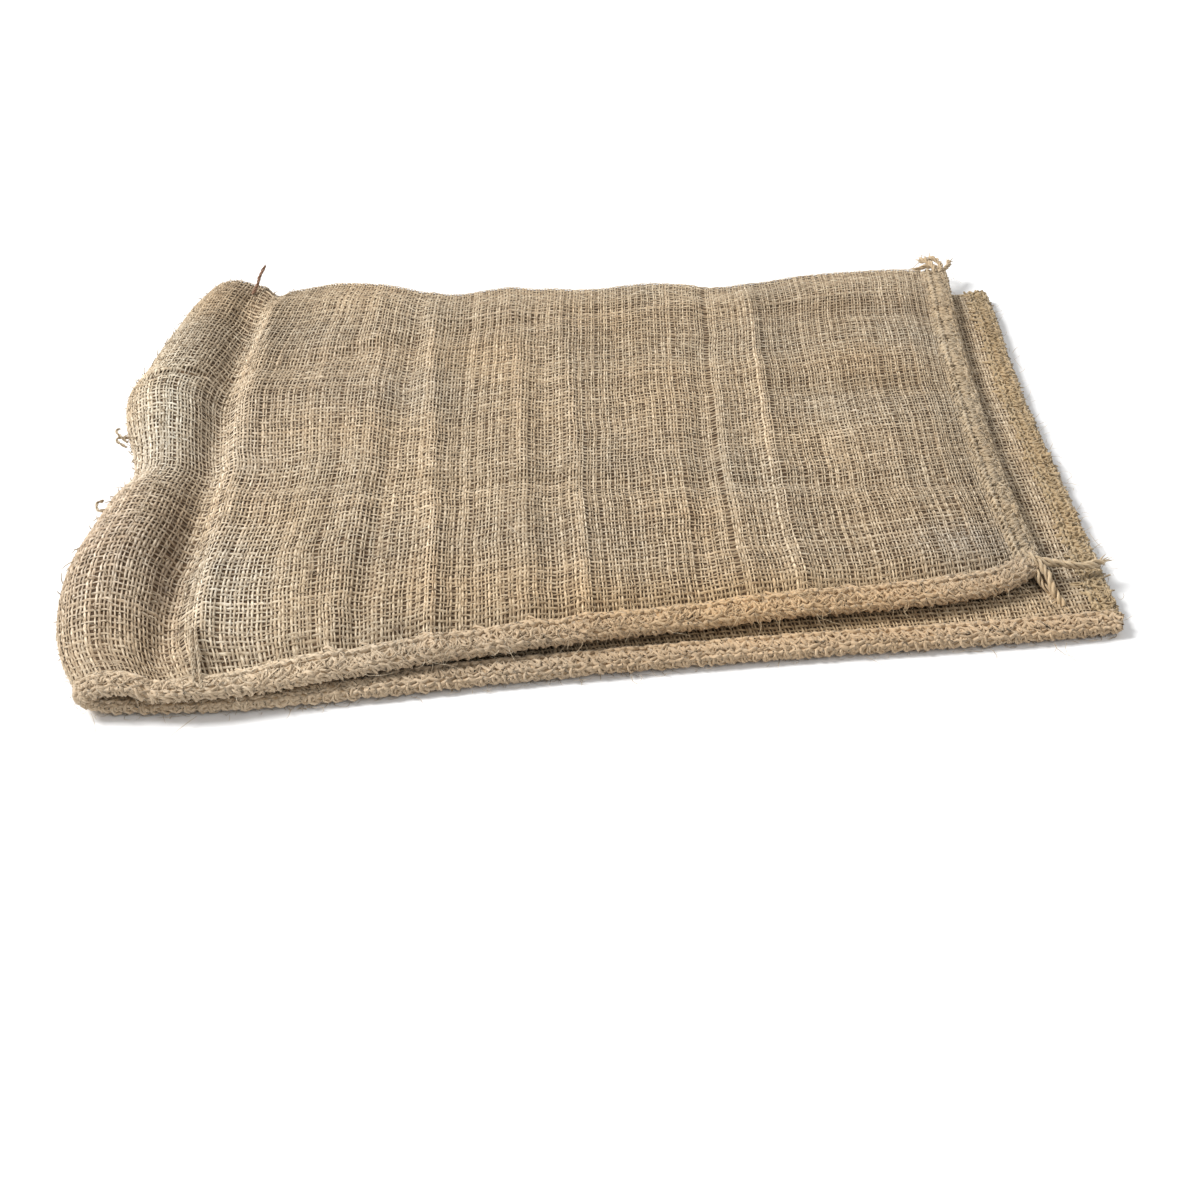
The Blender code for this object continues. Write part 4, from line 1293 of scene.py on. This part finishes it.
def cloth_hairs(gathered, draw, arch):
    each = (CLOTH_HAIRS, 1)
    run_s, run_q, reach = wandering(draw, CLOTH_HAIRS, CLOTH_HAIR)
    s = np.clip(draw.uniform(LOWER_LENGTH, LENGTH, each) + run_s, LOWER_LENGTH - 0.01, LENGTH)
    across = np.clip(draw.uniform(0, WIDTH + HAIRPIN, each) + run_q, 0, WIDTH + HAIRPIN)
    base = cloth_point(s, across)
    back = np.where(s > LENGTH - 0.002, -1, 1)
    ahead = cloth_point(s + 0.001 * back, across) - base
    up = unit(np.cross(ahead, cloth_point(s, across + 0.001) - base)) * back[..., None]
    lift = CLOTH_LIFT + draw.uniform(0, CLOTH_ARCH, each) * arch
    stands = draw.uniform(0, 1, each) > 1 - STANDING
    lift = lift + stands * np.linspace(0, 1, HAIR_POINTS) ** 2 * reach[:, None] * 0.35
    hairs(gathered, base + up * lift[..., None], up, draw)


def seam_hairs(gathered, edge, draw, arch):
    count = int(edge.last * SEAM_HAIRS)
    run_at, run_in, _ = wandering(draw, count, SEAM_HAIR)
    at = draw.uniform(0, edge.last, (count, 1)) + run_at
    inside = draw.uniform(SEAM_HAIRS_FROM, SEAM_HAIRS_TO, (count, 1)) + run_in
    here, up, _ = edge.middle(at, inside)
    drop = np.sqrt(np.clip(1 - (np.minimum(inside, 0) / SEAM_DROP) ** 2, 0.04, 1))
    lift = (edge.proud + SEAM_LIFT) * drop + draw.uniform(0, SEAM_ARCH, (count, 1)) * arch
    hairs(gathered, here + up * lift[..., None], up, draw)


def fuzz(edges):
    """Single fibres that have worked loose all over the cloth and along its seams."""
    draw = np.random.default_rng(91)
    gathered = Strips()
    arch = np.sin(np.linspace(0, math.pi, HAIR_POINTS))
    cloth_hairs(gathered, draw, arch)
    for edge in edges:
        seam_hairs(gathered, edge, draw, arch)
    return gathered.piece("fuzz", "hessian", yarn_material())


# ---------------- studio
IMAGE_SIDE = 1184
FOCAL_PIXELS = 1891
SENSOR = 36  # millimetres
EYE_PITCH = 34.0  # degrees down
EYE_YAW = 5.0  # degrees to the right of +Y
EYE_X, EYE_Y = -0.0604, -0.835  # before CENTRE is taken off
EYE_HEIGHT = 0.4544  # above the plateau
AMBIENT = 0.42
FLOOR_SIDE = 8
FLOOR_COLOUR = (0.86, 0.86, 0.86, 1)
LAMPS = (
    # name, where it hangs, its side, its power
    ("key", (-2.3, 0.7, 2.3), 1.2, 165.0),
    ("fill", (0.7, -1.2, 1.2), 1.2, 7.0),
    ("back", (0.9, 1.3, 0.9), 0.9, 6.0),
)


def lamp(name, place, size, power):
    """A square soft light that looks at the origin."""
    light = bpy.data.lights.new(name, "AREA")
    light.size = size
    light.energy = power
    thing = linked(name, light)
    thing.location = place
    aim = -np.array(place)
    down = math.acos(-aim[2] / np.linalg.norm(aim))
    thing.rotation_euler = (down, 0, math.atan2(aim[1], aim[0]) - math.pi / 2)


def studio():
    """The floor, three soft lights and the camera."""
    bpy.ops.mesh.primitive_plane_add(size=FLOOR_SIDE, location=(0, 0, 0))
    floor = bpy.context.object
    floor.name = "floor"
    paint = bpy.data.materials.new("floor")
    paint.use_nodes = True
    shader = paint.node_tree.nodes["Principled BSDF"]
    shader.inputs["Base Color"].default_value = FLOOR_COLOUR
    shader.inputs["Roughness"].default_value = 0.9
    floor.data.materials.append(paint)
    world = bpy.data.worlds.new("studio")
    world.use_nodes = True
    sky = world.node_tree.nodes["Background"]
    sky.inputs["Color"].default_value = (1.0, 1.0, 1.0, 1)
    sky.inputs["Strength"].default_value = AMBIENT
    for row in LAMPS:
        lamp(*row)
    eye = bpy.data.cameras.new("camera")
    eye.sensor_width = SENSOR
    eye.lens = SENSOR * FOCAL_PIXELS / IMAGE_SIDE
    eye.clip_start = 0.05
    camera = linked("camera", eye)
    camera.location = (EYE_X - CENTRE[0], EYE_Y - CENTRE[1], PLATEAU + EYE_HEIGHT)
    camera.rotation_euler = (math.radians(90 - EYE_PITCH), 0, math.radians(-EYE_YAW))
    scene = bpy.context.scene
    scene.world = world
    scene.camera = camera
    scene.view_settings.view_transform = "Standard"


# ---------------- making it
# Each piece of the sewing's shade, which its material's colour is multiplied by
SHADES = {
    # the side seam's darker shades are partly painted shade, over its middle, and partly its yarn's browner
    # colour
    "side_seam_roll": (0.74, 0.65, 0.56),
    "side_seam_stitches": (0.79, 0.73, 0.69),
    "bottom_seam_roll": (0.68, 0.62, 0.54),
    "bottom_seam_stitches": (0.76, 0.72, 0.67),
    "mouth_hem_roll": (0.62, 0.56, 0.46),
    "mouth_hem_stitches": (0.65, 0.59, 0.49),
    "near_corner_yarn": (0.84, 0.78, 0.70),
    "far_corner_yarn": (0.78, 0.72, 0.65),
}
studio()
ground = ground_cloth()
yarns = woven("top", Weave(LOWER_LENGTH - 0.010, LENGTH, 0, WIDTH + HAIRPIN + 0.003, 41), 2)
yarns += woven("under", Weave(0, LOWER_LENGTH, WIDTH - 0.010, 2 * WIDTH + HAIRPIN, 42), 1, lower_shows)
edges = [side_edge(), bottom_edge(), mouth_edge()]
sewing = []
for number, name in enumerate(("side_seam", "bottom_seam", "mouth_hem")):
    sewing += seam(name, edges[number], 61 + number)
ends = loose_ends() + [mouth_fray(), fuzz(edges)]
strays()
for piece in yarns + sewing + ends:
    tinted(piece, SHADES.get(piece.name, PLAIN), piece in sewing)
tinted(ground)
